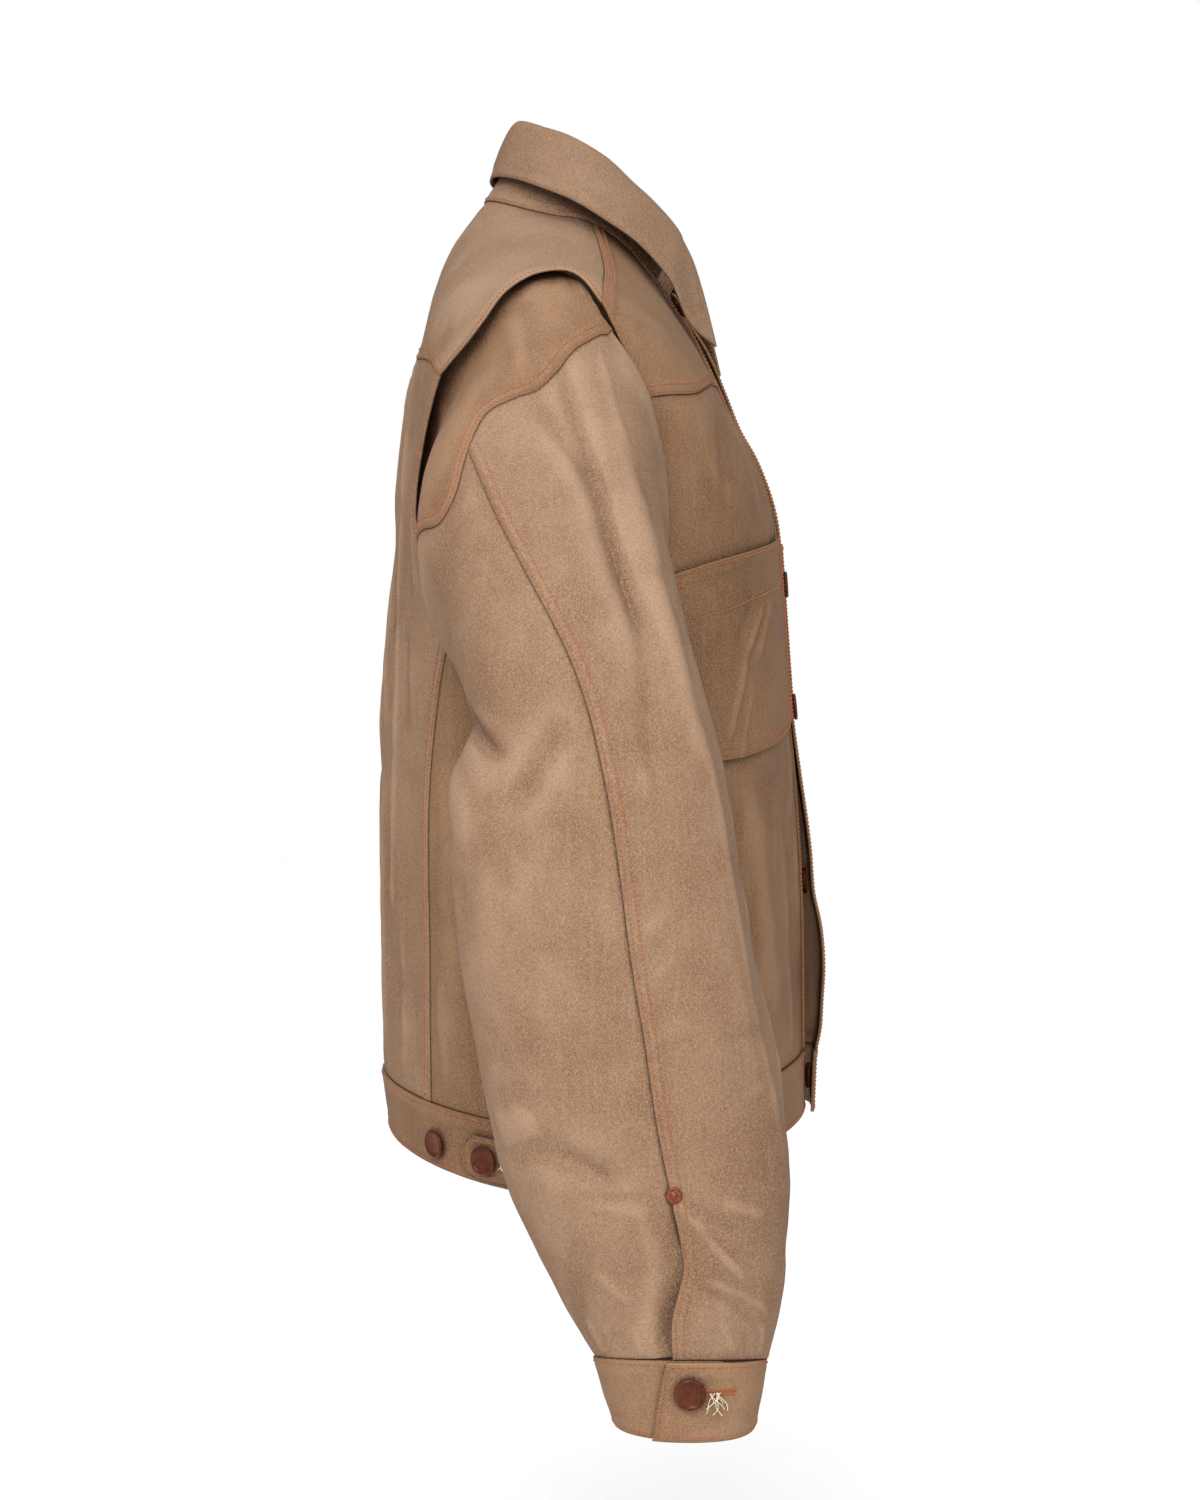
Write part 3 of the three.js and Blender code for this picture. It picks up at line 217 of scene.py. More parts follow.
# Collar from centre back: neck, fold out, y, z, edge out, y, z
COLLAR = np.array([
    [1.14, -23, 45, 72.5, -34, 65, 35.5],
    [1.0, 0, 49, 75.5, 0, 71, 38],
    [0.86, 23, 45, 72.5, 34, 65, 35.5],
    [0.73, 42, 31, 63.5, 61, 49, 28],
    [0.6, 54, 12, 54, 81, 28, 17],
    [0.5, 60, -8, 40, 93, 9, 7],
    [0.41, 59, -24, 24, 97, -11, -6],
    [0.34, 53, -37, 12, 94, -31, -20],
    [0.275, 45, -48, 0, 85, -50, -41],
    [0.245, 42, -51.5, -6, 76, -61, -65],
    [0.22, 39, -54, -12, 60, -76.5, -77],
])
# The stand curves in by a depth, from its foot's lift up to a part of its height; the fall rolls out and up
STAND_HOLLOW = 3
STAND_FOOT = 0.8
STAND_TOP = 0.97
COLLAR_ROLL = 9
COLLAR_ROLL_RISE = 3

# Lines seen from the side: y, z
FREE_EDGE = (
    (-15, -76), (-4, -64), (8, -59), (22, -61), (37, -70), (49, -85), (61, -98), (76, -111),
    (83, -130), (89, -152), (93, -175), (93, -193), (88, -212), (80, -235), (72, -254),
)
YOKE_CORNER = 7
SHOULDER_SEAM = ((-7, -26), (-13, -49), (-15, -76))
SHOULDER_AT_NECK = 0.44
SIDE_BACK_SEAM = ((80, -290), (86, -340), (88, -400), (88, -460), (89, -525))
YOKE_SEAM_INNER = ((109, -79), (94, -94))
BACK_YOKE_Z = -78
CENTRE_BACK_Z = (-25, -250)
# Lines on the front: distance from the centre line, z
FRONT_YOKE_SEAM = ((45, -100), (90, -105), (130, -113), (162, -121))
FRONT_YOKE_Z = -99
SHOULDER_TURN = 36
FRONT_YOKE_TURN = 61.5
FRONT_LINE_TURN = 112
UNDERARM_TURN = 234
FRONT_LINE_FOOT = 0.4
FRONT_LINE_Z = -390

POCKET_FRONT, POCKET_BACK = 27, 184
POCKET_TOP = (-192, -229)
POCKET_BOTTOM = (-294, -326)
POCKET_CLIP = 26
POCKET_RISE = 5
POCKET_SAG = 4
POCKET_LIFT = WALL + 1.3
POCKET_FACING = 0.3

TAB_TIP, TAB_ROOT, TAB_Z, TAB_HALF = 67, -25, -556, 13
TAB_CORNER, TAB_TIP_SHARE = 0.1, 0.4
TAB_SIDE_SHARE = 0.45
TAB_LIFT = DOUBLE_WALL + LAP_GAP
WAISTBAND_HEIGHT = 38

FRONT_BUTTONS = ((-60, False), (-220, True), (-298, True), (-408, False), (-532, False))
TAB_BUTTONS = ((52, -560, True), (84, -555, False))
CUFF_BUTTON_TURN = 6
CUFF_HOLE_TURNS = (10, 37)
CUFF_FRAY_TURN = 23
CUFF_BUTTON_PART = 0.36
RIVET_TURN = 1

# Large folds of the body: across, z, across, z, width, height, side (0 both, -1 right, 1 left)
BODY_FOLDS = (
    (452, -95, 470, -190, 13, 3, 0),
    (486, -84, 492, -150, 12, -3, 0),
    (440, -215, 462, -330, 14, 4, 0),
    (470, -190, 480, -330, 13, -3, 0),
    (436, -330, 448, -520, 12, 4, 0),
    (462, -360, 470, -520, 14, -4, 0),
    (498, -250, 500, -515, 16, 3, 0),
    (395, -300, 400, -500, 16, -3, 0),
    (345, -330, 352, -530, 18, 4, 0),
    (300, -320, 290, -520, 18, -4, 0),
    (235, -330, 225, -520, 20, 4, 0),
    (120, -300, 48, -215, 16, 1.6, 0),
    (120, -345, 95, -500, 15, 3, 0),
    (60, -330, 50, -505, 12, -2.5, 0),
    (175, -345, 160, -515, 15, -4, 0),
    (60, -110, 120, -165, 14, -2.5, 0),
)

# Large folds of the sleeve: turn, ring, turn, ring, width, height
SLEEVE_FOLDS = (
    (12, 1.9, 24, 2.8, 8, -5),
    (22, 2.7, 34, 3.7, 9, -5),
    (33, 3.6, 26, 4.8, 10, -2.5),
    (36, 1.9, 46, 3.0, 9, 3.5),
    (46, 2.9, 53, 4.7, 9, 3.5),
    (54, 4.5, 60, 7.3, 9, 2),
    (-100, 3.75, -36, 4.65, 8, -4.5),
    (-100, 4.3, -50, 5.3, 11, 2.5),
    (-28, 5.05, -8, 4.35, 8, -2),
    (-62, 7.6, -38, 7.45, 8, 2),
    (-42, 7.7, -8, 8.05, 10, -2.5),
    (118, 4.2, 88, 5.6, 10, -4),
    (118, 5.8, 90, 7.4, 11, 3),
    (112, 7.6, 90, 9.2, 10, -3),
    (-30, 8.8, -60, 10.3, 9, -1.5),
    (60, 9.4, 75, 10.7, 9, -1.5),
    (-130, 5.2, -92, 6.4, 10, -3),
    (-125, 6.9, -95, 8.2, 10, 3),
    (150, 3.5, 175, 5.5, 12, -4),
    (190, 4.5, 215, 7.0, 12, -4),
)

# Small creases of the body, as the large folds: narrower and lower
BODY_CREASES = (
    (452, -92, 447, -128, 3.5, 1.5, -1),
    (443, -86, 438, -126, 3.5, 1.7, -1),
    (438, -126, 430, -178, 3.5, 1.9, 0),
    (430, -178, 420, -244, 3.5, 1.7, -1),
    (420, -244, 417, -330, 4, 2.0, -1),
    (417, -330, 423, -424, 4, 1.6, -1),
    (404, -250, 402, -320, 4, -1.7, -1),
    (410, -160, 400, -236, 4, -1.8, 0),
    (440, -205, 434, -262, 4, -1.8, 0),
    (446, -262, 440, -318, 3.5, 1.4, 0),
    (428, -300, 440, -352, 5, 1.0, 1),
    (462, -270, 458, -345, 6, 0.9, 0),
    (486, -300, 500, -372, 6, -0.8, 0),
    (476, -420, 470, -505, 5, 1.0, 0),
    (452, -455, 456, -515, 4, -0.9, 0),
    (505, -440, 512, -510, 5, 0.8, 1),
    (412, -430, 408, -512, 5, 1.1, 0),
    (395, -470, 392, -520, 4, -0.9, 0),
    (360, -455, 357, -520, 5, 1.0, 0),
    (318, -462, 316, -522, 4, -0.9, 0),
    (262, -458, 258, -521, 5, 0.9, 0),
    (214, -470, 212, -522, 4, -0.8, 0),
    (140, -322, 117, -270, 2.8, 1.9, 0),
    (117, -270, 88, -238, 2.6, 1.7, 0),
    (130, -332, 112, -288, 2.6, 1.3, 0),
    (106, -274, 78, -236, 2.6, 1.5, 0),
    (126, -266, 98, -232, 3.5, -1.2, 0),
    (58, -206, 92, -240, 4, 0.8, 1),
    (70, -118, 74, -186, 5, 0.9, 0),
    (108, -126, 128, -182, 5, -1.0, 0),
    (84, -134, 96, -188, 4, 0.7, 1),
    (44, -348, 66, -396, 4, 0.9, 0),
    (52, -420, 74, -452, 4, -0.8, 0),
    (84, -350, 96, -412, 5, 1.0, 0),
    (128, -352, 148, -430, 5, -1.1, 0),
    (108, -440, 118, -506, 5, 1.0, 0),
    (62, -468, 66, -512, 4, 0.9, 0),
    (166, -372, 186, -448, 5, 0.9, 1),
    (186, -452, 194, -512, 5, -0.9, 0),
)
SLEEVE_CREASES = (
    (-4, 2.08, 20, 2.62, 4, -1.8),
    (9, 1.74, 25, 2.7, 4, -1.6),
    (24, 2.68, 33, 3.62, 4.5, -1.8),
    (33, 3.6, 29, 4.3, 5, -1.0),
    (30, 1.5, 40, 2.2, 4, 0.9),
    (-14, 1.0, -7, 1.9, 3.5, 0.9),
    (-22, 0.5, -27, 1.2, 3.5, -0.7),
    (-3, 0.3, -7, 1.0, 3, 0.9),
    (4, 0.3, 2, 0.9, 3, -0.7),
    (20, 0.4, 18, 1.0, 3, 0.8),
    (12, 0.45, 11, 1.0, 3, -0.6),
    (-40, 0.4, -48, 1.3, 4, 0.9),
    (-56, 0.5, -66, 1.4, 4, -0.8),
    (-74, 0.5, -82, 1.2, 4, 0.8),
    (-88, 3.84, -38, 4.62, 3.5, -1.6),
    (-82, 4.08, -40, 4.95, 4, 0.5),
    (-28, 5.05, -9, 4.4, 3.5, -0.7),
    (-24, 5.22, -4, 4.58, 4, 0.4),
    (57, 4.3, 66, 6.1, 5, 1.5),
    (65, 5.8, 72, 7.7, 5, 1.4),
    (-46, 5.2, -30, 5.6, 4, -0.6),
    (19, 4.3, 27, 5.0, 4, 0.8),
    (24, 4.5, 33, 5.4, 4, -0.6),
    (17, 5.9, 29, 5.72, 2.6, 0.6),
    (18, 6.05, 32, 5.85, 2.6, -0.5),
    (16, 6.25, 30, 6.02, 2.8, 0.6),
    (17, 6.5, 27, 6.36, 2.6, -0.5),
    (15, 6.75, 31, 6.55, 3, 0.5),
    (45, 6.75, 70, 6.7, 4, -0.8),
    (48, 7.25, 66, 7.18, 3, 0.6),
    (-62, 7.75, -40, 7.5, 3.5, 0.9),
    (-56, 7.95, -36, 7.76, 3.5, -0.7),
    (-30, 7.72, -10, 8.02, 4.5, -0.9),
    (-26, 8.24, 6, 8.22, 2.4, -0.9),
    (-22, 8.36, 2, 8.4, 2.6, 0.5),
    (14, 8.32, 42, 9.5, 3, 1.3),
    (18, 8.3, 39, 8.72, 3, -1.1),
    (20, 8.6, 38, 9.1, 3, -0.9),
    (30, 8.28, 52, 8.5, 3.5, 0.8),
    (16, 9.5, 54, 10.4, 3, -1.2),
    (22, 9.4, 60, 10.1, 3, 0.9),
    (28, 10.2, 36, 10.8, 3, 0.9),
    (42, 10.35, 47, 10.85, 3, -1.0),
    (58, 10.3, 60, 10.85, 3, 0.9),
    (-20, 10.3, -24, 10.85, 3, 0.8),
    (-34, 10.3, -37, 10.85, 3, -0.8),
    (-50, 10.2, -54, 10.85, 3.5, 0.9),
    (-30, 9.3, -18, 9.9, 4, 0.7),
    (78, 4.6, 96, 5.3, 4, -1.2),
    (84, 5.5, 104, 6.0, 4, 1.0),
    (96, 7.7, 116, 8.2, 4, -1.1),
    (-120, 4.2, -96, 4.6, 4, 1.1),
    (-128, 4.8, -98, 5.1, 4, -1.3),
    (-118, 5.6, -98, 6.2, 4, 1.0),
    (132, 3.2, 120, 4.4, 5, -1.4),
    (146, 2.6, 138, 3.8, 5, 1.2),
    (164, 3.0, 170, 4.2, 5, -1.2),
    (-160, 3.1, -148, 4.4, 5, 1.3),
    (-142, 2.8, -130, 3.9, 5, -1.2),
    (176, 5.8, 166, 6.9, 5, 1.0),
    (-150, 7.2, -138, 8.3, 5, -1.0),
    (150, 8.6, 158, 9.9, 4, 0.9),
    (96, 9.6, 102, 10.7, 3.5, -1.0),
    (118, 9.9, 122, 10.8, 3.5, 0.9),
)
# Folds and creases, the rings between which they rise, and the rings over which they end above the foot
BODY_RELIEF = ((BODY_FOLDS, (1.2, 2.4), 0.6), (BODY_CREASES, (0.1, 0.5), 0.15))
SLEEVE_RELIEF = ((SLEEVE_FOLDS, (1.8, 3), 0.7), (SLEEVE_CREASES, (0.2, 0.8), 0.2))

# Uneven relief of stiff cloth: height, size across, size down; and the width of the calm strip at edges
CRUMPLE_SOFT = (1.1, 34, 48)
CRUMPLE_SMALL = (0.35, 13, 15)
CRUMPLE_FADE = 12
# Standing out, for pale wear and painted sheen on ridges and painted shade in troughs: rounds of smoothing,
# and how far a point can stand out
STANDING_OUT_PASSES = 14
STANDING_OUT_LIMIT = 2.5


def smooth(low, high, x):
    t = np.clip((x - low) / (high - low), 0, 1)
    return t * t * (3 - 2 * t)


def catmull(a, b, c, d, t):
    return 0.5 * (2 * b + (c - a) * t + (2 * a - 5 * b + 4 * c - d) * t**2 + (3 * b - a - 3 * c + d) * t**3)


def after_row(rows, i, part):
    """Smooth values a part of the way from row i to the next."""
    a, b, c, d = (rows[np.clip(i + k, 0, len(rows) - 1)] for k in (-1, 0, 1, 2))
    return catmull(a, b, c, d, part)


def rows_at(rows, t):
    """Columns of a table at whole or broken row numbers."""
    t = np.asarray(t, float)
    i = np.clip(np.floor(t).astype(int), 0, len(rows) - 2)
    return after_row(rows, i, (t - i)[..., None])


def look_up(keys, values, x):
    """Value of one column against another that rises or falls all the way."""
    if keys[-1] < keys[0]:
        keys, values = keys[::-1], values[::-1]
    x = np.clip(np.asarray(x, float), keys[0], keys[-1])
    i = np.clip(np.searchsorted(keys, x), 1, len(keys) - 1) - 1
    return after_row(values, i, (x - keys[i]) / (keys[i + 1] - keys[i]))


def column(table, x):
    """Second column of a table against its first."""
    return look_up(table[:, 0], table[:, 1], x)


def unit(v):
    return v / np.maximum(np.linalg.norm(v, axis=-1, keepdims=True), 1e-9)


def facing(surface, p, q, dp, dq):
    """Direction out of a surface, from short steps along both its numbers."""
    along = surface(p + dp, q) - surface(p - dp, q)
    down = surface(p, q + dq) - surface(p, q - dq)
    return unit(np.cross(down, along))


def sided(side, points):
    return points * np.array([side, 1, 1])


def body_base(u, v):
    """Point of the plain body on one half."""
    u, v = np.broadcast_arrays(np.asarray(u, float), np.asarray(v, float))
    z_front, z_side, z_back, y_front, y_side, y_back, half, square = np.moveaxis(rows_at(BODY, v), -1, 0)
    s, c = np.sin(np.pi * u), np.cos(np.pi * u)
    radius = (np.abs(s) ** square + np.abs(c) ** square) ** (-1 / square)
    reach = radius * c
    bend = np.abs(reach) ** RING_BEND
    front = reach > 0
    y = y_side - reach * np.where(front, y_side - y_front, y_back - y_side)
    z = z_side + bend * (np.where(front, z_front, z_back) - z_side)
    return np.stack([half * radius * s, y, z], -1)


def body_out(u, v):
    return facing(body_base, u, v, *BODY_STEP)


def fold_height(folds, x, y, wide, tall):
    """Sum of rounded ridges and hollows, each along its own short line."""
    height = np.zeros(np.shape(x))
    for x0, y0, x1, y1, width, rise in folds:
        dx, dy = (x1 - x0) * wide, (y1 - y0) * tall
        px, py = (x - x0) * wide, (y - y0) * tall
        t = (px * dx + py * dy) / (dx * dx + dy * dy)
        away = np.abs(px * dy - py * dx) / math.hypot(dx, dy)
        end = smooth(*FOLD_START, t) * (1 - smooth(*FOLD_STOP, t))
        height = height + rise * end * np.exp(-((away / width) ** 2))
    return height


def find_on_body(axes, wanted, low, high):
    """Body numbers u, v where two coordinates of the plain body have the values asked for."""
    def miss(u, v):
        return np.array([w - body_base(u, v)[..., k] for k, w in zip(axes, wanted)])
    # The nearest point of a coarse grid, then steps along the slopes
    us = low + (high - low) * np.arange(1, GRID_COLUMNS)[:, None] / GRID_COLUMNS
    vs = np.arange(HEM * GRID_ROWS + 1)[None, :] / GRID_ROWS
    away = np.hypot(*miss(us, vs))
    i, j = np.unravel_index(np.argmin(away), away.shape)
    u, v = float(us[i, 0]), float(vs[0, j])
    du, dv = SLOPE_STEP
    far_u, far_v = LONGEST_MOVE
    for _ in range(SEARCH_ROUNDS):
        e = miss(u, v)
        eu = (miss(u + du, v) - e) / du
        ev = (miss(u, v + dv) - e) / dv
        det = eu[0] * ev[1] - ev[0] * eu[1]
        u = float(np.clip(u + np.clip((e[1] * ev[0] - e[0] * ev[1]) / det, -far_u, far_u), low, high))
        v = float(np.clip(v + np.clip((e[0] * eu[1] - e[1] * eu[0]) / det, -far_v, far_v), 0, HEM))
    return u, v


def seen_at(y, z):
    return find_on_body((1, 2), (y, z), 0.002, 0.998)


def front_at(out, z):
    return find_on_body((0, 2), (out, z), 0.002, 0.5)


def height_at(u, z):
    low, high = 0.0, float(HEM)
    for _ in range(HALVINGS):
        middle = (low + high) / 2
        if body_base(u, middle)[2] > z:
            low = middle
        else:
            high = middle
    return u, low


def across_at(out, v):
    """Body number u of a distance from the centre plane, on the front."""
    u = np.zeros(np.shape(v))
    step = SLOPE_STEP[1]
    for _ in range(ACROSS_ROUNDS):
        slope = (body_base(u + step, v)[..., 0] - body_base(u - step, v)[..., 0]) / (2 * step)
        u = u + (out - body_base(u, v)[..., 0]) / slope
    return u


def through(points, wide=HALF_GIRTH, tall=RING_STEP):
    """Smooth line through pairs of numbers, run through by its length on the flat map."""
    points = np.array(points, float)
    steps = np.hypot(*(np.diff(points, axis=0) * (wide, tall)).T)
    lengths = np.concatenate([[0], np.cumsum(steps)])

    def line(t):
        want = np.clip(t, 0, 1) * lengths[-1]
        i = np.clip(np.searchsorted(lengths, want, side="right") - 1, 0, len(points) - 2)
        part = (want - lengths[i]) / (lengths[i + 1] - lengths[i])
        return after_row(points, i, np.asarray(part)[..., None])
    return line


def joined(first, second, share):
    """Two lines run through as one, the first over its share of the way."""
    def line(t):
        t = np.asarray(t, float)[..., None]
        start = first(np.clip(t[..., 0] / share, 0, 1))
        end = second(np.clip((t[..., 0] - share) / (1 - share), 0, 1))
        return np.where(t <= share, start, end)
    return line


def reversed_line(line):
    return lambda t: line(1 - np.asarray(t, float))


def straight(p, q):
    p, q = np.array(p, float), np.array(q, float)
    return lambda t: p + (q - p) * np.asarray(t, float)[..., None]


def part_of(line, start, end):
    return lambda t: line(start + (end - start) * np.asarray(t, float))


def fill(top, bottom, left, right):
    """Fill between four lines of a flat map."""
    corner = [top(0.0), top(1.0), bottom(0.0), bottom(1.0)]

    def inside(a, b):
        t, m, l, r = top(a), bottom(a), left(b), right(b)
        a, b = a[..., None], b[..., None]
        return ((1 - b) * t + b * m + (1 - a) * l + a * r - (1 - a) * (1 - b) * corner[0]
                - a * (1 - b) * corner[1] - (1 - a) * b * corner[2] - a * b * corner[3])
    return inside


# Lines of the body's map
shoulder_seam = through([(SHOULDER_AT_NECK, 0), *(seen_at(*p) for p in SHOULDER_SEAM)])
free_edge = np.array([seen_at(*p) for p in FREE_EDGE])
yoke_free_edge = through(free_edge[: YOKE_CORNER + 1])
back_free_edge = through(free_edge[YOKE_CORNER:])
back_yoke_seam = through([
    height_at(1, BACK_YOKE_Z),
    *(seen_at(*p) for p in YOKE_SEAM_INNER),
    free_edge[YOKE_CORNER],
])
side_back_seam = through([
    free_edge[-1],
    *(seen_at(*p) for p in SIDE_BACK_SEAM[:-1]),
    (seen_at(*SIDE_BACK_SEAM[-1])[0], WAIST_SEAM),
])
SIDE_BACK_FOOT = float(side_back_seam(1.0)[0])


def neck_line(start, end):
    return straight((start, 0), (end, 0))


def waist_line(start, end):
    return straight((start, WAIST_SEAM), (end, WAIST_SEAM))


def placket_at(out, v):
    return np.stack([across_at(out + column(FRONT_OPEN, v), v), v], -1)


def placket_line(v0, v1, out=PLACKET_HALF):
    return lambda t: placket_at(out, v0 + (v1 - v0) * np.asarray(t, float))


edge_spots = np.array([seen_at(y, z) for _, y, z in ARMHOLE_EDGE])


def armhole(turn):
    return np.stack([look_up(ARMHOLE_EDGE[:, 0], edge_spots[:, k], turn) for k in (0, 1)], -1)


def armhole_line(start, end):
    return lambda t: armhole(start + (end - start) * np.asarray(t, float))


YOKE_PLACKET_V = front_at(PLACKET_HALF, FRONT_YOKE_Z)[1]
front_yoke_seam = through([
    placket_line(YOKE_PLACKET_V, WAIST_SEAM)(0.0),
    *(front_at(*p) for p in FRONT_YOKE_SEAM),
    armhole(FRONT_YOKE_TURN),
])
line_head = armhole(FRONT_LINE_TURN)
front_line = through([
    line_head,
    height_at((line_head[0] + FRONT_LINE_FOOT) / 2, FRONT_LINE_Z),
    (FRONT_LINE_FOOT, WAIST_SEAM),
])


def free_edge_rise(u, v):
    """How far the yoke and the back stand off near their free edge."""
    nearest = np.full(np.shape(u), np.inf)
    along = np.zeros(np.shape(u))
    flat = free_edge * (HALF_GIRTH, RING_STEP)
    last = len(flat) - 1
    for i in range(last):
        (ax, ay), (dx, dy) = flat[i], flat[i + 1] - flat[i]
        px, py = u * HALF_GIRTH - ax, v * RING_STEP - ay
        t = np.clip((px * dx + py * dy) / (dx * dx + dy * dy), 0, 1)
        away = np.hypot(px - t * dx, py - t * dy)
        along = np.where(away < nearest, (i + t) / last, along)
        nearest = np.minimum(away, nearest)
    ends = smooth(0, FREE_EDGE_ENDS[0], along) * (1 - smooth(FREE_EDGE_ENDS[1], 1, along))
    return FREE_EDGE_RISE * ends * (1 - smooth(0, FREE_EDGE_FADE, nearest))


def body_relief(side, u, v, base):
    relief = 0
    for rows, start, end in BODY_RELIEF:
        folds = [fold[:6] for fold in rows if fold[6] in (0, side)]
        calm = smooth(*start, v) * (1 - smooth(WAIST_SEAM - end, WAIST_SEAM, v))
        relief = relief + calm * fold_height(folds, u * HALF_GIRTH, base[..., 2], 1, 1)
    if side == LEFT:
        near = 1 - smooth(PLACKET_HALF, LAP_FADE, base[..., 0])
        flare = column(LEFT_FLARE, base[..., 2])
        relief = relief + np.where(u < 0.5, near * (LAP_LIFT + flare), 0)
    return relief


def body_point(side, u, v, height, over_sleeve=False):
    """Point at a height over the body's cloth, with its folds and its stand over the sleeve."""
    u, v = np.asarray(u, float), np.asarray(v, float)
    base = body_base(u, v)
    free = height + body_relief(side, u, v, base)
    if over_sleeve:
        free = free + free_edge_rise(u, v)
    return sided(side, base + body_out(u, v) * np.asarray(free)[..., None])


def round_the_armhole(rows):
    """Body numbers and rise by turn, closed all round."""
    spots = np.array([(*seen_at(y, z), rise) for _, y, z, rise in rows])
    turns = rows[:, 0]
    n = len(turns)

    def at(turn):
        angle = np.mod(turn, 360)
        i = np.searchsorted(turns, angle, side="right") - 1
        after = np.where(i + 1 < n, turns[(i + 1) % n], 360)
        part = (angle - turns[i]) / (after - turns[i])
        a, b, c, d = (spots[(i + k) % n] for k in (-1, 0, 1, 2))
        return catmull(a, b, c, d, part[..., None])
    return at


sleeve_top = round_the_armhole(SLEEVE_TOP)
sleeve_mouth = round_the_armhole(SLEEVE_MOUTH)


def ring_point(rows, turn):
    out, y, z, reach, drop, front, back = np.moveaxis(rows, -1, 0)
    angle = np.radians(turn)
    c, s = np.cos(angle), np.sin(angle)
    radius = (np.abs(s) ** SLEEVE_SQUARE + np.abs(c) ** SLEEVE_SQUARE) ** (-1 / SLEEVE_SQUARE)
    depth = np.where(s > 0, front, back)
    return np.stack([out + reach * radius * c, y - depth * radius * s, z + drop * radius * c], -1)


def sleeve_ring(k, turn):
    if k >= 2:
        return ring_point(SLEEVE[k - 2], turn)
    u, v, rise = np.moveaxis((sleeve_top if k == 0 else sleeve_mouth)(turn), -1, 0)
    return body_base(u, v) + body_out(u, v) * rise[..., None]


def sleeve_base(turn, ring):
    turn, ring = np.broadcast_arrays(np.asarray(turn, float), np.asarray(ring, float))
    rings = np.stack([sleeve_ring(k, turn) for k in range(SLEEVE_END + 1)])
    i = np.clip(np.floor(ring).astype(int), 0, SLEEVE_END - 1)

    def pick(k):
        return np.take_along_axis(rings, np.clip(k, 0, SLEEVE_END)[None, ..., None], 0)[0]
    return catmull(pick(i - 1), pick(i), pick(i + 1), pick(i + 2), (ring - i)[..., None])


def sleeve_point(side, turn, ring, height):
    turn, ring = np.asarray(turn, float), np.asarray(ring, float)
    base = sleeve_base(turn, ring)
    out = -facing(sleeve_base, turn, ring, *TURN_STEP)
    around = np.mod(turn + 180, 360) - 180
    relief = 0
    for folds, start, end in SLEEVE_RELIEF:
        calm = smooth(*start, ring) * (1 - smooth(SLEEVE_END - end, SLEEVE_END, ring))
        for shift in (0, 360, -360):
            folded = fold_height(folds, around + shift, ring, SLEEVE_GIRTH / 360, SLEEVE_RING_STEP)
            relief = relief + calm * folded
    return sided(side, base + out * np.asarray(height + relief)[..., None])


def cap_seam(t):
    turn = CAP_SEAM[0, 0] + (CAP_SEAM[-1, 0] - CAP_SEAM[0, 0]) * np.asarray(t, float)
    return np.stack([turn, column(CAP_SEAM, turn)], -1)


outer_seam = through([cap_seam(0.5), *OUTER_SEAM[1:, ::-1]], SLEEVE_GIRTH / 360, RING_STEP)
fore_cap, rear_cap = part_of(cap_seam, 0, 0.5), part_of(cap_seam, 0.5, 1)
inner_seam = straight((INNER_SEAM_TURN, 1), (INNER_SEAM_TURN, SLEEVE_END))
inner_seam_back = straight((INNER_SEAM_BACK, 1), (INNER_SEAM_BACK, SLEEVE_END))


def slit_seam(t):
    turn, ring = np.moveaxis(outer_seam(t), -1, 0)
    return np.stack([turn + smooth(*SLIT_WIDENS, ring) * SLIT_UNDER, ring], -1)


def slit_dip(turn, ring):
    """How deep the back edge of the slit lies beneath the front edge."""
    past = turn - column(OUTER_SEAM, ring)
    return column(SLIT_DIP, ring) * smooth(-SLIT_FADE, 0, past)


def cuff_base(turn, part):
    turn, part = np.broadcast_arrays(np.asarray(turn, float), np.asarray(part, float))
    return ring_point(rows_at(CUFF, part * (len(CUFF) - 1)), turn)


def cuff_point(side, turn, part, height):
    out = -facing(cuff_base, turn, part, *TURN_STEP)
    return sided(side, cuff_base(turn, part) + out * np.asarray(height)[..., None])


def cuff_place(side, a, b, height):
    """Once round the wrist: from the under end to the end that laps over it."""
    at_top, at_foot = CUFF_OVER_END
    gone = np.asarray(a, float) * (360 + CUFF_UNDER_END - at_top - (at_foot - at_top) * b)
    lift = CUFF_LIFT * smooth(360 - CUFF_STEP, 360, gone)
    return cuff_point(side, CUFF_UNDER_END - gone, b, lift + height)


def collar_at(side, t):
    """Foot, fold and edge of the collar, from centre back to the front end."""
    neck, *rest = np.moveaxis(rows_at(COLLAR, 1 + np.asarray(t, float) * (len(COLLAR) - 2)), -1, 0)
    fold, edge = np.stack(rest[:3], -1), np.stack(rest[3:], -1)
    return body_point(side, neck, np.zeros(np.shape(neck)), STAND_FOOT), sided(side, fold), sided(side, edge)


def fold_outward(side, t):
    way = collar_at(side, np.minimum(1, t + 0.02))[1] - collar_at(side, t - 0.02)[1]
    return unit(-side * np.stack([way[..., 1], -way[..., 0], 0 * way[..., 0]], -1))


def stand_base(side, t, b):
    neck, fold, _ = collar_at(side, t)
    b = b[..., None]
    return neck + (fold - neck) * b - fold_outward(side, t) * STAND_HOLLOW * np.sin(np.pi * b)


def fall_base(side, t, b):
    _, fold, edge = collar_at(side, t)
    outward = fold_outward(side, t)
    b = b[..., None]
    start = fold + outward * (WALL + LAP_GAP)
    bulge = fold + outward * COLLAR_ROLL + np.array([0, 0, COLLAR_ROLL_RISE])
    return start * (1 - b) ** 2 + bulge * 2 * b * (1 - b) + edge * b**2


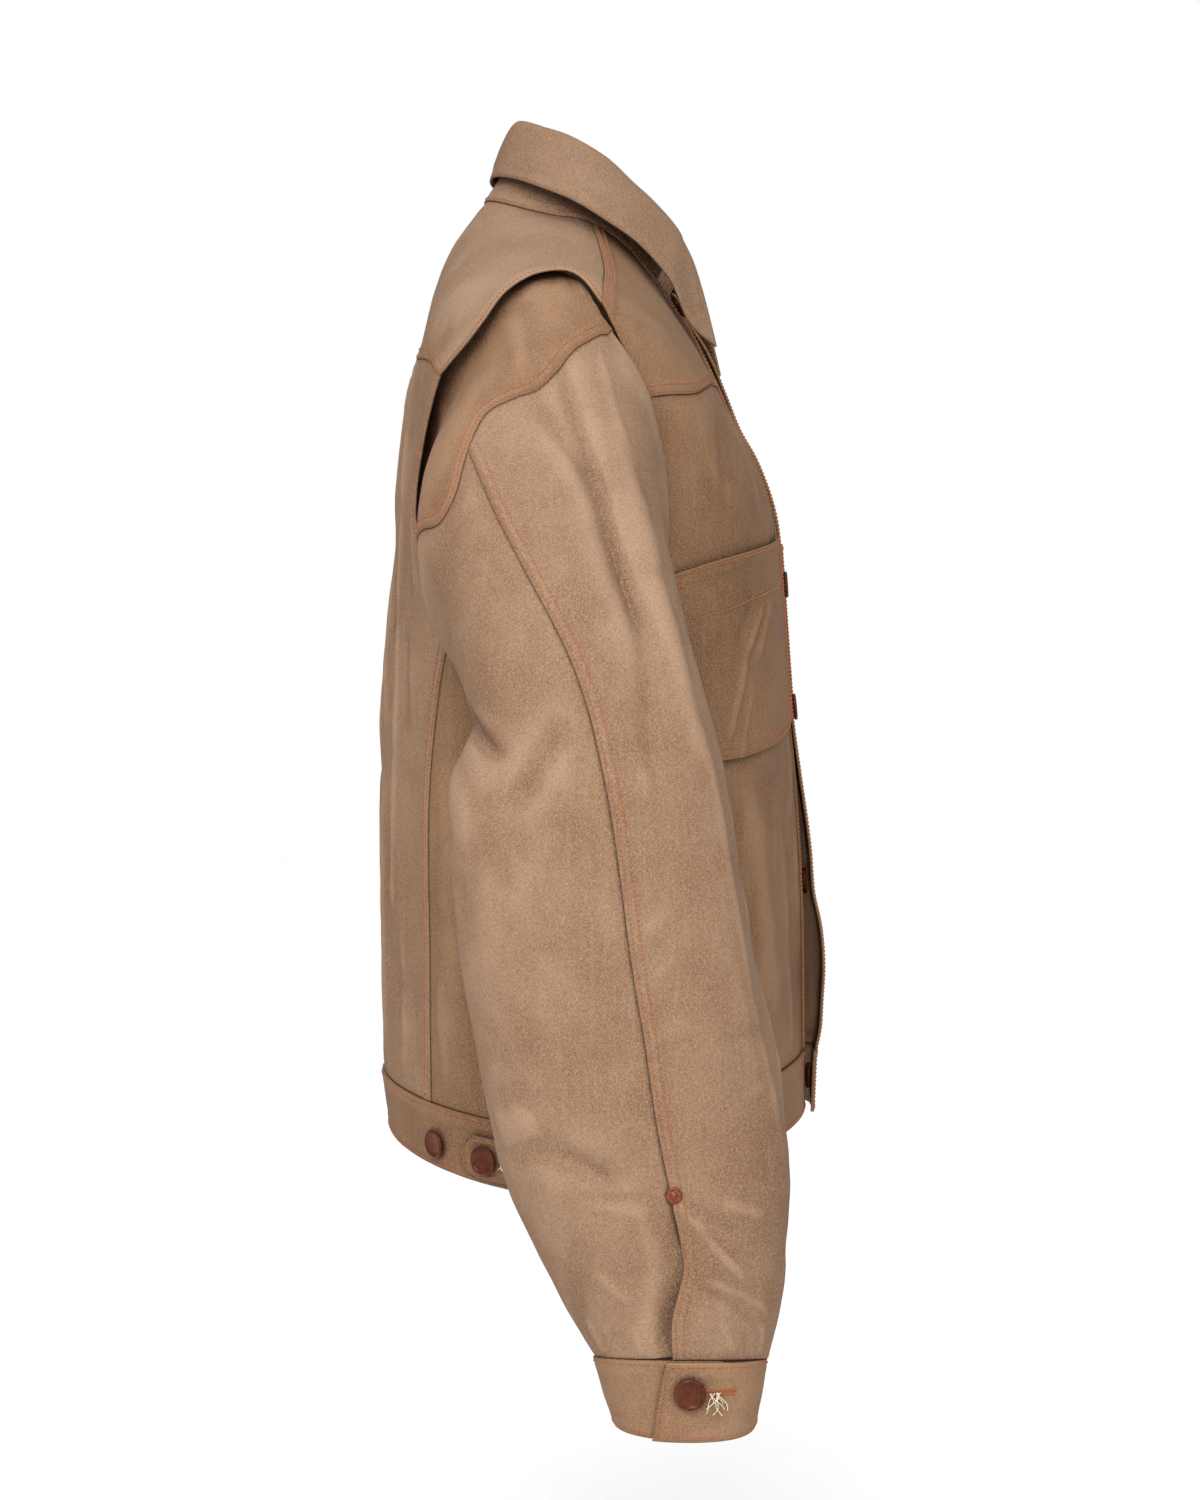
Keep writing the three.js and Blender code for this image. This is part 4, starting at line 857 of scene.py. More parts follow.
def collar_place(side, base, t, b, height):
    t, b = np.broadcast_arrays(np.asarray(t, float), np.asarray(b, float))
    inner = np.minimum(t, 0.99)
    out = side * facing(lambda p, q: base(side, p, q), inner, b, 0.01, 0.01)
    point = base(side, t, b) + out * height
    point[..., 0] = np.where(t == 0, 0, point[..., 0])
    return point


# Pieces: each stretch is columns, rows and place(a, b, height)
def on_body(side, line_map, lift=0.0, over_sleeve=False):
    def place(a, b, height):
        uv = line_map(a, b)
        return body_point(side, uv[..., 0], uv[..., 1], lift + height, over_sleeve)
    return place


def on_sleeve(side, line_map, dip=None):
    def place(a, b, height):
        turn, ring = np.moveaxis(line_map(a, b), -1, 0)
        return sleeve_point(side, turn, ring, height - (dip(turn, ring) if dip else 0))
    return place


def body_trace(side, line, over_sleeve=False, lift=0.0):
    """A line of the body's map as points in space."""
    uv = line(np.linspace(0, 1, TRACE_POINTS))
    return body_point(side, uv[:, 0], uv[:, 1], WALL + lift, over_sleeve)


def sleeve_trace(side, line):
    turn, ring = line(np.linspace(0, 1, TRACE_POINTS)).T
    return sleeve_point(side, turn, ring, WALL)


def lengths_along(points):
    return np.concatenate([[0], np.cumsum(np.linalg.norm(np.diff(points, axis=0), axis=1))])


def values_along(want, lengths, values):
    return np.stack([np.interp(want, lengths, values[:, k]) for k in range(3)], -1)


def even(points, step):
    """Points at even distances on a line in space, the last one less than a step before its end."""
    lengths = lengths_along(points)
    return values_along(np.arange(0, lengths[-1], step), lengths, points)


def distance_to(points, lines):
    """Distance from each point to the nearest of some lines in space."""
    if not lines:
        return np.full(len(points), FAR_FROM_EDGES)
    dots = np.concatenate([even(line, EDGE_DOT_STEP) for line in lines])
    tree = kdtree.KDTree(len(dots))
    for i, p in enumerate(dots):
        tree.insert(p, i)
    tree.balance()
    return np.array([tree.find(p)[2] for p in points])


def place_thing(name, data):
    thing = bpy.data.objects.new(name, data)
    bpy.context.scene.collection.objects.link(thing)
    return thing


def add_mesh(name, points, faces, material, smooth_all=True):
    """A piece of the jacket from points in millimetres."""
    mesh = bpy.data.meshes.new(name)
    mesh.from_pydata((np.asarray(points) * MM).tolist(), [], faces)
    mesh.update()
    for polygon in mesh.polygons:
        polygon.use_smooth = smooth_all or len(polygon.vertices) == 4
    mesh.materials.append(MATERIALS[material])
    thing = place_thing(name, mesh)
    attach(thing, "root")
    return thing


PIECES = {}


def cloth(
    name, stretches, wall=WALL, laps=(), unders=(), slot="canvas_body", face=None, crumple=1.0, rise=LAP_RISE
):
    """A shell of cloth on the form of its solid. laps are edges on top of others, unders beneath them."""
    points, outs, quads = [], [], []
    count = 0
    for cols, rows, place in stretches:
        a, b = np.meshgrid(np.linspace(0, 1, cols + 1), np.linspace(0, 1, rows + 1))
        low = place(a, b, 0.0).reshape(-1, 3)
        high = place(a, b, 1.0).reshape(-1, 3)
        points.append(low)
        outs.append(unit(high - low))
        index = np.arange((cols + 1) * (rows + 1)).reshape(rows + 1, cols + 1)
        quad = np.stack([index[:-1, :-1], index[1:, :-1], index[1:, 1:], index[:-1, 1:]], -1).reshape(-1, 4)
        normals = np.cross(low[quad[:, 2]] - low[quad[:, 0]], low[quad[:, 3]] - low[quad[:, 1]])
        if np.sum(normals * outs[-1][quad[:, 0]]) < 0:
            quad = quad[:, ::-1]
        quads.append(quad + count)
        count += len(low)
    points, outs, quads = np.concatenate(points), np.concatenate(outs), np.concatenate(quads)
    points, outs, quads = weld(points, outs, quads)
    lap = distance_to(points, laps)
    under = distance_to(points, unders)
    lift = rise * (1 - smooth(*LAP_STEP, lap))
    lift -= UNDER_DROP * (1 - smooth(*UNDER_STEP, under))
    lift += crumple * crumples(points) * smooth(0, CRUMPLE_FADE, np.minimum(lap, under))
    points = points + outs * lift[:, None]
    outward = unit(outs)
    # face can give the darker canvas in place of the slot's: a less faded tone, and painted shade
    thing = add_mesh(name, points, quads, face or slot)
    kept = {
        "edge": np.minimum(lap, EDGE_REACH),
        "under": np.minimum(under, EDGE_REACH),
        # How far each point stands out: pale wear and painted sheen on ridges, painted shade in troughs
        "worn": standing_out(points, outward, quads),
    }
    for word, values in kept.items():
        made = thing.data.attributes.new(word, "FLOAT", "POINT")
        made.data.foreach_set("value", values.astype(np.float32))
    solidify = thing.modifiers.new("wall", "SOLIDIFY")
    solidify.thickness = wall * MM
    solidify.offset = 1
    solidify.use_even_offset = False
    outer = (points + outward * wall).tolist()
    PIECES[name] = {"object": thing, "tree": BVHTree.FromPolygons(outer, quads)}


def weld(points, outs, quads):
    """Joins points of neighbouring stretches and drops faces without area."""
    cells = np.round(points / WELD_DISTANCE).astype(int)
    _, first, inverse = np.unique(cells, axis=0, return_index=True, return_inverse=True)
    kept = []
    for quad in np.ravel(inverse)[quads].tolist():
        face = [p for i, p in enumerate(quad) if p != quad[i - 1]]
        if len(set(face)) == len(face) and len(face) > 2:
            kept.append(face)
    return points[first], outs[first], kept


def crumples(points):
    """Low uneven relief of stiff cloth."""
    soft, wide, tall = CRUMPLE_SOFT
    small, near, low = CRUMPLE_SMALL
    heights = np.empty(len(points))
    for i, (x, y, z) in enumerate(points.tolist()):
        large = noise.noise(Vector((x / wide, y / wide, z / tall)))
        heights[i] = soft * large + small * noise.noise(Vector((x / near + 7, y / near, z / low)))
    return heights


def standing_out(points, outs, faces):
    """How far each point stands out of its surroundings, for pale wear and painted sheen on ridges and
    painted shade in troughs.
    """
    edges = set()
    for face in faces:
        for i, p in enumerate(face):
            q = face[i - 1]
            edges.add((min(p, q), max(p, q)))
    edges = np.array(sorted(edges))
    both = np.concatenate([edges, edges[:, ::-1]])
    share = np.bincount(both[:, 0], minlength=len(points))[:, None]
    calm = points.copy()
    for _ in range(STANDING_OUT_PASSES):
        total = np.stack([np.bincount(both[:, 0], calm[both[:, 1], k], len(points)) for k in range(3)], -1)
        calm = total / np.maximum(share, 1)
    stand = np.einsum("ij,ij->i", points - calm, outs)
    return np.clip(stand, -STANDING_OUT_LIMIT, STANDING_OUT_LIMIT)


# Materials
def new_material(name):
    material = bpy.data.materials.new(name)
    material.use_nodes = True
    nodes = material.node_tree.nodes
    return material, nodes, material.node_tree.links, nodes["Principled BSDF"]


def set_inputs(node, **values):
    """Sets inputs by name, with _ for each space."""
    for name, value in values.items():
        node.inputs[name.replace("_", " ")].default_value = value


def canvas_material(name, light, dark, warm):
    """Waxed canvas: flecked weave, mottled wax, scuffed creases, pale edges from wear with a painted
    highlight, painted sheen on ridges and upward faces, painted shade in troughs, hollows and beneath laps.
    """
    material, nodes, links, shader = new_material(name)

    def node(kind, **settings):
        made = nodes.new(kind)
        for key, value in settings.items():
            setattr(made, key, value)
        return made

    def feed(socket, value):
        if hasattr(value, "is_output"):
            links.new(value, socket)
        else:
            socket.default_value = value

    def combine(operation, a, b):
        made = node("ShaderNodeMath", operation=operation)
        feed(made.inputs[0], a)
        feed(made.inputs[1], b)
        return made.outputs[0]

    def times(a, b):
        return combine("MULTIPLY", a, b)

    def rest(part):
        return combine("SUBTRACT", 1.0, part)

    def mix(factor, a, b):
        made = node("ShaderNodeMix", data_type="RGBA")
        for socket, value in zip((made.inputs[0], made.inputs[6], made.inputs[7]), (factor, a, b)):
            feed(socket, (*value, 1) if isinstance(value, tuple) else value)
        return made.outputs[2]

    def ramp(value, low, high):
        made = node("ShaderNodeMapRange", interpolation_type="SMOOTHSTEP")
        links.new(value, made.inputs["Value"])
        set_inputs(made, From_Min=low, From_Max=high)
        return made.outputs["Result"]

    coordinate = node("ShaderNodeTexCoord").outputs["Object"]

    def noise_at(scale, detail=3.0, stretch=(1, 1, 1), kind="FBM", rough=0.5):
        mapping = node("ShaderNodeMapping")
        set_inputs(mapping, Scale=stretch)
        links.new(coordinate, mapping.inputs["Vector"])
        made = node("ShaderNodeTexNoise", noise_type=kind)
        set_inputs(made, Scale=scale, Detail=detail, Roughness=rough)
        links.new(mapping.outputs["Vector"], made.inputs["Vector"])
        return made.outputs["Fac"]

    def attribute(attribute_name):
        return node("ShaderNodeAttribute", attribute_name=attribute_name).outputs["Fac"]

    worn, edge, under = attribute("worn"), attribute("edge"), attribute("under")
    # Noises by scale, detail and stretch: clouds of wax, patches, crossed yarns, streaks, scuffs, fine lines
    clouds = noise_at(16, 4)
    patches = noise_at(55, 3)
    warp = noise_at(1900, 2, (1, 1, 0.45), rough=0.7)
    weft = noise_at(1900, 2, (0.45, 0.45, 1.1), rough=0.7)
    flecks = combine("ADD", times(warp, 0.5), times(weft, 0.5))
    streaks = noise_at(420, 2, (1, 1, 0.05))
    scuffs = ramp(noise_at(22, 2, kind="RIDGED_MULTIFRACTAL"), 1.25, 1.6)
    scuffs = times(scuffs, ramp(clouds, 0.45, 0.65))
    lines = ramp(noise_at(48, 3, kind="RIDGED_MULTIFRACTAL"), 1.2, 1.75)
    lines = times(lines, ramp(patches, 0.4, 0.62))
    # Upward faces, for painted sheen from the light above
    normal = node("ShaderNodeSeparateXYZ")
    links.new(node("ShaderNodeNewGeometry").outputs["Normal"], normal.inputs[0])
    # Occlusion, for painted shade in hollows and between parts, as between the sleeve and the body
    painted_occlusion_shade = node("ShaderNodeAmbientOcclusion", samples=6)
    set_inputs(painted_occlusion_shade, Distance=0.13)

    pale = tuple(min(1.0, c * 1.28 + 0.02) for c in light)
    deep = (dark[0] * 0.62, dark[1] * 0.56, dark[2] * 0.6)
    # Painted sheen: paler, greyer colour for faces turned up to the light
    painted_top_sheen = (light[0] * 1.35, light[1] * 1.6, light[2] * 1.85)
    # Pale edge colour: wear on folded edges, and painted highlight where the raised edge catches light
    rim = (light[0] * 1.2, light[1] * 1.42, light[2] * 1.45)
    colour = mix(ramp(clouds, 0.18, 0.78), dark, light)
    # Where each tint lies, how much of it shows there, and the tint
    for part, share, tint in (
        (ramp(patches, 0.45, 0.75), 0.45, warm),
        # Pale on ridges: wear, and painted sheen where ridges catch the light
        (ramp(worn, 0.15, 1.1), 0.55, pale),
        # Painted shade: darker in the troughs of creases and folds
        (ramp(times(worn, -1.0), 0.15, 1.3), 0.5, deep),
        (scuffs, 0.44, pale),
        (lines, 0.4, pale),
        # Painted sheen: paler where the surface faces up
        (ramp(normal.outputs["Z"], 0.1, 0.9), 0.22, painted_top_sheen),
        # Painted shade: darker where nearby cloth hides the light
        (rest(ramp(painted_occlusion_shade.outputs["AO"], 0.42, 1.0)), 0.85, deep),
        (ramp(flecks, 0.48, 0.62), 0.7, pale),
        (rest(ramp(flecks, 0.34, 0.5)), 0.62, deep),
        (ramp(streaks, 0.48, 0.75), 0.13, pale),
        # Pale edges: wear, and painted highlight on the raised folded edge
        (rest(ramp(edge, 0.5, 2.0)), 0.7, rim),
        # Painted shade: darker where the cloth passes beneath a lapped edge
        (rest(ramp(under, 0.6, 3.0)), 0.3, deep),
    ):
        colour = mix(times(part, share), colour, tint)
    links.new(colour, shader.inputs["Base Color"])

    rough = combine("ADD", times(clouds, 0.18), 0.62)
    links.new(combine("SUBTRACT", rough, times(scuffs, 0.1)), shader.inputs["Roughness"])
    set_inputs(shader, Specular_IOR_Level=0.06)

    # Relief: yarns, scuffs, puckers near the stitched edges, low waves
    pucker = times(noise_at(190, 1), rest(ramp(edge, 6.0, 12.0)))
    height = combine("ADD", times(flecks, 0.5), times(scuffs, 0.35))
    height = combine("ADD", height, times(pucker, 2.4))
    height = combine("ADD", height, times(noise_at(120, 3), 0.8))
    bump = node("ShaderNodeBump")
    set_inputs(bump, Strength=0.55, Distance=0.0006)
    links.new(height, bump.inputs["Height"])
    links.new(bump.outputs["Normal"], shader.inputs["Normal"])
    return material


def simple_material(name, base, other, scale, rough, metallic=0.0, shine=0.3):
    """One noise between two colours."""
    material, nodes, links, shader = new_material(name)
    coordinate = nodes.new("ShaderNodeTexCoord")
    pattern = nodes.new("ShaderNodeTexNoise")
    set_inputs(pattern, Scale=scale, Detail=4, Distortion=1.2)
    links.new(coordinate.outputs["Object"], pattern.inputs["Vector"])
    ramp = nodes.new("ShaderNodeValToRGB")
    for element, position, shade in zip(ramp.color_ramp.elements, (0.35, 0.65), (base, other)):
        element.position = position
        element.color = (*shade, 1)
    links.new(pattern.outputs["Fac"], ramp.inputs["Fac"])
    links.new(ramp.outputs["Color"], shader.inputs["Base Color"])
    set_inputs(shader, Roughness=rough, Metallic=metallic, Specular_IOR_Level=shine)
    return material


MATERIALS = {
    "canvas_body": canvas_material(
        "waxed_canvas", (0.222, 0.138, 0.085), (0.14, 0.075, 0.041), (0.186, 0.102, 0.055)
    ),
    # Darker copy of the canvas: partly the darker tone of the trim, partly painted shade, as on the pocket
    # and waistband and on the front pieces and gussets
    "canvas_trim": canvas_material(
        "waxed_canvas_trim_and_shade", (0.19, 0.108, 0.058), (0.122, 0.061, 0.031), (0.16, 0.081, 0.041)
    ),
    "thread": simple_material("copper_thread", (0.28, 0.076, 0.025), (0.37, 0.116, 0.042), 900, 0.6),
    "cream": simple_material("cream_thread", (0.62, 0.52, 0.38), (0.75, 0.66, 0.5), 900, 0.7),
    "button": simple_material(
        "button_resin", (0.044, 0.0085, 0.0022), (0.085, 0.018, 0.005), 160, 0.22, shine=0.14
    ),
    "rivet": simple_material(
        "rivet_copper", (0.22, 0.07, 0.032), (0.1, 0.03, 0.014), 400, 0.32, metallic=0.85
    ),
}


# The jacket's cloth
def both_sides(lines, over_sleeve=False):
    """Lines of the body's map on both halves, as points in space."""
    return [body_trace(side, line, over_sleeve) for _, side in SIDES for line in lines]


def halves_of(cols, rows, line_map, over_sleeve=False):
    return [(cols, rows, on_body(side, line_map, over_sleeve=over_sleeve)) for _, side in SIDES]


def back_yoke():
    neck = neck_line(SHOULDER_AT_NECK, 1)
    low = joined(yoke_free_edge, reversed_line(back_yoke_seam), share=0.4)
    middle = through([(1, 0), height_at(1, CENTRE_BACK_Z[0]), height_at(1, BACK_YOKE_Z)])
    cloth(
        "yoke_back",
        halves_of(110, 34, fill(neck, low, shoulder_seam, middle), True),
        laps=both_sides([yoke_free_edge, back_yoke_seam], True),
        unders=both_sides([shoulder_seam, neck]),
    )


def back_panel():
    edge = joined(back_free_edge, side_back_seam, share=6 / 18)
    foot = waist_line(SIDE_BACK_FOOT, 1)
    middle = through([height_at(1, BACK_YOKE_Z), height_at(1, CENTRE_BACK_Z[1]), (1, WAIST_SEAM)])
    cloth(
        "panel_back",
        halves_of(60, 144, fill(reversed_line(back_yoke_seam), foot, edge, middle), True),
        laps=both_sides([back_free_edge, side_back_seam], True),
        unders=both_sides([back_yoke_seam, foot], True),
    )


def front_yoke(word, side):
    neck = neck_line(SHOULDER_AT_NECK, float(placket_at(PLACKET_HALF, 0.0)[0]))
    front = placket_line(0, YOKE_PLACKET_V)
    inner = joined(neck, front, share=0.375)
    line_map = fill(shoulder_seam, front_yoke_seam, inner, armhole_line(SHOULDER_TURN, FRONT_YOKE_TURN))
    cloth(
        f"yoke_front_{word}",
        [(48, 48, on_body(side, line_map))],
        laps=[body_trace(side, line) for line in (shoulder_seam, front_yoke_seam)],
        unders=[body_trace(side, line) for line in (neck, front)],
        # Darker canvas: a less faded tone, and painted shade on the front
        face="canvas_trim",
    )


def front_panel(word, side):
    front_edge = placket_line(YOKE_PLACKET_V, WAIST_SEAM)
    front = fill(
        front_yoke_seam,
        waist_line(float(across_at(PLACKET_HALF, float(WAIST_SEAM))), FRONT_LINE_FOOT),
        front_edge,
        joined(armhole_line(FRONT_YOKE_TURN, FRONT_LINE_TURN), front_line, share=5 / 18),
    )
    under = fill(
        armhole_line(FRONT_LINE_TURN, UNDERARM_TURN),
        waist_line(FRONT_LINE_FOOT, SIDE_BACK_FOOT),
        front_line,
        side_back_seam,
    )
    beneath = (front_yoke_seam, side_back_seam, waist_line(0.03, SIDE_BACK_FOOT), front_edge)
    cloth(
        f"panel_front_{word}",
        [(56, 144, on_body(side, front)), (66, 104, on_body(side, under))],
        laps=[body_trace(side, armhole_line(FRONT_YOKE_TURN, UNDERARM_TURN))],
        unders=[body_trace(side, line) for line in beneath],
        # Darker canvas: a less faded tone, and painted shade beside the sleeve
        face="canvas_trim",
    )


def placket_edges(side):
    return [body_trace(side, placket_line(0, WAIST_SEAM, out)) for out in (PLACKET_HALF, -PLACKET_HALF)]


def placket(word, side):
    def line_map(a, b):
        return placket_at(PLACKET_HALF * (1 - 2 * a), b * WAIST_SEAM)
    stretch = (24, 200, on_body(side, line_map))
    # Darker canvas: a less faded tone, and painted shade on the front
    cloth(f"strip_{word}", [stretch], laps=placket_edges(side), face="canvas_trim", rise=1.0)


def waistband():
    def line_map(a, b):
        v = WAIST_SEAM + b * (HEM - WAIST_SEAM)
        start = across_at(-PLACKET_HALF, v)
        return np.stack([start + (1 - start) * a, v], -1)
    edges = [
        lambda t: line_map(t, np.zeros(np.shape(t))),
        lambda t: line_map(t, np.ones(np.shape(t))),
        lambda t: line_map(np.zeros(np.shape(t)), t),
    ]
    cloth("band_waist", halves_of(180, 13, line_map), DOUBLE_WALL, laps=both_sides(edges), slot="canvas_trim")


def pocket_lines():
    def line(points):
        return through([front_at(*p) for p in points])
    middle = (POCKET_FRONT + POCKET_BACK) / 2
    top = line([
        (POCKET_FRONT, POCKET_TOP[0]),
        (middle, sum(POCKET_TOP) / 2 + POCKET_RISE),
        (POCKET_BACK, POCKET_TOP[1]),
    ])
    back_foot = POCKET_BOTTOM[1] + POCKET_CLIP
    bottom = line([
        (POCKET_FRONT, POCKET_BOTTOM[0]),
        (POCKET_FRONT + POCKET_CLIP / 2, POCKET_BOTTOM[0] - POCKET_CLIP / 2),
        (middle, (sum(POCKET_BOTTOM) - POCKET_CLIP) / 2),
        (POCKET_BACK - POCKET_CLIP * 0.65, POCKET_BOTTOM[1] - POCKET_SAG),
        (POCKET_BACK, back_foot),
    ])
    front = line([(POCKET_FRONT, POCKET_TOP[0]), (POCKET_FRONT, POCKET_BOTTOM[0])])
    back = line([(POCKET_BACK, POCKET_TOP[1]), (POCKET_BACK, back_foot)])
    return top, bottom, front, back


def chest_pocket(word, side):
    lines = pocket_lines()
    cloth(
        f"pocket_{word}",
        [(90, 76, on_body(side, fill(*lines), POCKET_LIFT))],
        laps=[body_trace(side, line, lift=POCKET_LIFT) for line in lines],
        slot="canvas_trim",
    )


def tab_map(a, b):
    depth = HEM - WAIST_SEAM
    tip, root = seen_at(TAB_TIP, TAB_Z)[0], seen_at(TAB_ROOT, TAB_Z)[0]
    shape = TAB_TIP_SHARE + (1 - TAB_TIP_SHARE) * np.clip((1 - a) / TAB_CORNER, 0, 1)
    v = WAIST_SEAM + depth / 2 + TAB_HALF / WAISTBAND_HEIGHT * depth * shape * (2 * b - 1)
    return np.stack([root + (tip - root) * a, v], -1)


def tab_outline(t):
    """Once round the tab, from its sewn end along the top, over the tip and back."""
    t = np.asarray(t, float)
    first, last = TAB_SIDE_SHARE, 1 - TAB_SIDE_SHARE
    a = np.where(t < first, t / first, np.where(t < last, 1, (1 - t) / first))
    b = np.where(t < first, 0, np.where(t < last, (t - first) / (last - first), 1))
    return tab_map(a, b)


def adjuster_tab(word, side):
    cloth(
        f"tab_{word}",
        [(40, 9, on_body(side, tab_map, TAB_LIFT))],
        DOUBLE_WALL,
        laps=[body_trace(side, tab_outline, lift=TAB_LIFT)],
        slot="canvas_trim",
        crumple=0.3,
    )


def sleeve_front(word, side):
    under = straight((INNER_SEAM_TURN, 0), (TOP_TURN, 0))
    low = joined(under, straight((TOP_TURN, 0), cap_seam(0.0)), share=6 / 7)
    line_map = fill(
        joined(low, fore_cap, share=7 / 15),
        straight((INNER_SEAM_TURN, SLEEVE_END), outer_seam(1.0)),
        straight((INNER_SEAM_TURN, 0), (INNER_SEAM_TURN, SLEEVE_END)),
        outer_seam,
    )
    cloth(
        f"sleeve_fore_{word}",
        [(90, 180, on_sleeve(side, line_map))],
        laps=[sleeve_trace(side, outer_seam)],
        unders=[sleeve_trace(side, fore_cap), sleeve_trace(side, inner_seam)],
    )


def sleeve_back(word, side):
    line_map = fill(
        joined(rear_cap, straight(cap_seam(1.0), (INNER_SEAM_BACK, 0)), share=8 / 11),
        straight(slit_seam(1.0), (INNER_SEAM_BACK, SLEEVE_END)),
        slit_seam,
        straight((INNER_SEAM_BACK, 0), (INNER_SEAM_BACK, SLEEVE_END)),
    )
    cloth(
        f"sleeve_rear_{word}",
        [(77, 170, on_sleeve(side, line_map, slit_dip))],
        laps=[sleeve_trace(side, inner_seam_back)],
        unders=[sleeve_trace(side, slit_seam), sleeve_trace(side, rear_cap)],
    )


def shoulder_gusset(word, side):
    def line_map(a, b):
        seam = cap_seam(np.clip(a, GUSSET_TRIM, 1 - GUSSET_TRIM))
        return np.stack([seam[..., 0], seam[..., 1] * b], -1)
    stretch = (96, 44, on_sleeve(side, line_map))
    # Darker canvas as painted shade on the gusset
    cloth(f"gusset_{word}", [stretch], laps=[sleeve_trace(side, cap_seam)], face="canvas_trim")


def cuff_edges(side):
    """The cuff's upper and lower edge and its outer end."""
    t = np.linspace(0, 1, 120)
    ends = ((0, 1, 0, 0), (0, 1, 1, 1), (1, 1, 0, 1))
    return [cuff_place(side, a + (a1 - a) * t, b + (b1 - b) * t, DOUBLE_WALL) for a, a1, b, b1 in ends]


def cuff(word, side):
    stretch = (104, 12, lambda a, b, height: cuff_place(side, a, b, height))
    cloth(f"cuff_band_{word}", [stretch], DOUBLE_WALL, laps=cuff_edges(side), slot="canvas_trim")


def stand_foot(side):
    return collar_place(side, stand_base, np.linspace(0, 1, 120), np.zeros(120), WALL)


def fall_edges(side):
    """The outer edge of the collar and its front end."""
    edge = collar_place(side, fall_base, np.linspace(0, 1, 120), np.ones(120), WALL)
    return [edge, collar_place(side, fall_base, np.ones(60), np.linspace(0, 1, 60), WALL)]


def collar_stretches(cols, rows, base, deep=1.0):
    return [
        (cols, rows, lambda a, b, height, side=side: collar_place(side, base, a, b * deep, height))
        for _, side in SIDES
    ]


def collar():
    feet = [stand_foot(side) for _, side in SIDES]
    edges = [edge for _, side in SIDES for edge in fall_edges(side)]
    cloth("stand_collar", collar_stretches(72, 20, stand_base, STAND_TOP), laps=feet, crumple=0.5, rise=0.1)
    cloth("fall_collar", collar_stretches(80, 26, fall_base), laps=edges, crumple=0.5)


# Stitches
class Threads:
    """Short arched lengths of thread, gathered into one mesh."""

    def __init__(self):
        self.points, self.faces = [], []

    def add(self, starts, ends, outs, radius=THREAD, rise=0.35, sink=-0.15):
        """Arched stitches from starts to ends, standing off along outs."""
        if not len(starts):
            return
        along = unit(ends - starts)
        across = unit(np.cross(along, outs))
        up = np.cross(across, along)
        angles = 2 * np.pi * np.arange(THREAD_SIDES) / THREAD_SIDES
        base = sum(len(p) for p in self.points)
        rings = []
        # Part of the way, height, size
        arch = ((0, sink, 0.6), (0.3, rise * 0.8, 1), (0.7, rise * 0.8, 1), (1, sink, 0.6))
        for part, height, size in arch:
            middle = starts + (ends - starts) * part + outs * height
            ring = [middle + radius * size * (np.cos(w) * across + np.sin(w) * up) for w in angles]
            rings.append(np.stack(ring, 1))
        self.points.append(np.stack(rings, 1).reshape(-1, 3))
        index = np.arange(len(starts) * 4 * THREAD_SIDES).reshape(-1, 4, THREAD_SIDES) + base
        turned = np.roll(index, -1, axis=2)
        quads = np.stack([index[:, :-1], turned[:, :-1], turned[:, 1:], index[:, 1:]], -1).reshape(-1, 4)
        self.faces += quads.tolist()

    def finish(self, name, material):
        add_mesh(name, np.concatenate(self.points), self.faces, material)


def nearest_on(piece, points):
    """Nearest points of a piece of cloth, and the directions out of it there."""
    found = [PIECES[piece]["tree"].find_nearest(Vector(p)) for p in points]
    return np.array([hit[0] for hit in found]), np.array([hit[1] for hit in found])


def row(threads, piece, line, inset=0.0):
    """A row of topstitches on a piece, parallel to a line in space and inset from it into the piece."""
    dots = even(line, ROW_DOT_STEP)
    outs = nearest_on(piece, dots)[1]
    inward = unit(np.cross(outs, unit(np.gradient(dots, axis=0))))
    if inset:
        # The piece lies on the side where points a little way in are nearer to it
        gaps = []
        for sign in (1, -1):
            tries = dots[::6] + sign * inward[::6] * max(inset, 4)
            gaps.append(np.linalg.norm(nearest_on(piece, tries)[0] - tries, axis=1).sum())
        dots = dots + inward * (inset if gaps[0] < gaps[1] else -inset)
    dots, outs = nearest_on(piece, dots)
    lengths = lengths_along(dots)
    starts = np.arange(0, lengths[-1] - STITCH, STITCH_PITCH)
    first, last = (values_along(want, lengths, dots) for want in (starts, starts + STITCH))
    threads.add(first, last, unit(values_along(starts + STITCH / 2, lengths, outs)))


def double_row(threads, piece, line):
    for inset in (ROW_NEAR, ROW_FAR):
        row(threads, piece, line, inset)


def close_stitches(threads, piece, start, end, count, length, away=0.0, radius=THREAD):
    """Dense stitches across the way from start to end on a piece."""
    dots, outs = nearest_on(piece, start + (end - start) * np.linspace(0, 1, count)[:, None])
    across = unit(np.cross(outs, np.gradient(dots, axis=0)))
    middle = dots + across * away
    threads.add(middle - across * length / 2, middle + across * length / 2, outs, radius, 0.5, -0.1)


def bar_tack(threads, piece, start, end, length=TACK_LENGTH):
    count = max(3, int(np.linalg.norm(end - start) / BAR_PITCH))
    close_stitches(threads, piece, start, end, count, length)


def buttonhole(threads, piece, start, end):
    """Two close rows along a slit, with a bar at each end."""
    count = int(np.linalg.norm(end - start) / BAR_PITCH)
    for sign in (1, -1):
        close_stitches(threads, piece, start, end, count, HOLE_STITCH, sign * HOLE_WIDTH / 2, HOLE_THREAD)
    out = nearest_on(piece, [start])[1][0]
    across = unit(np.cross(out, end - start)) * HOLE_WIDTH
    for spot in (start, end):
        bar_tack(threads, piece, spot - across, spot + across, HOLE_BAR)


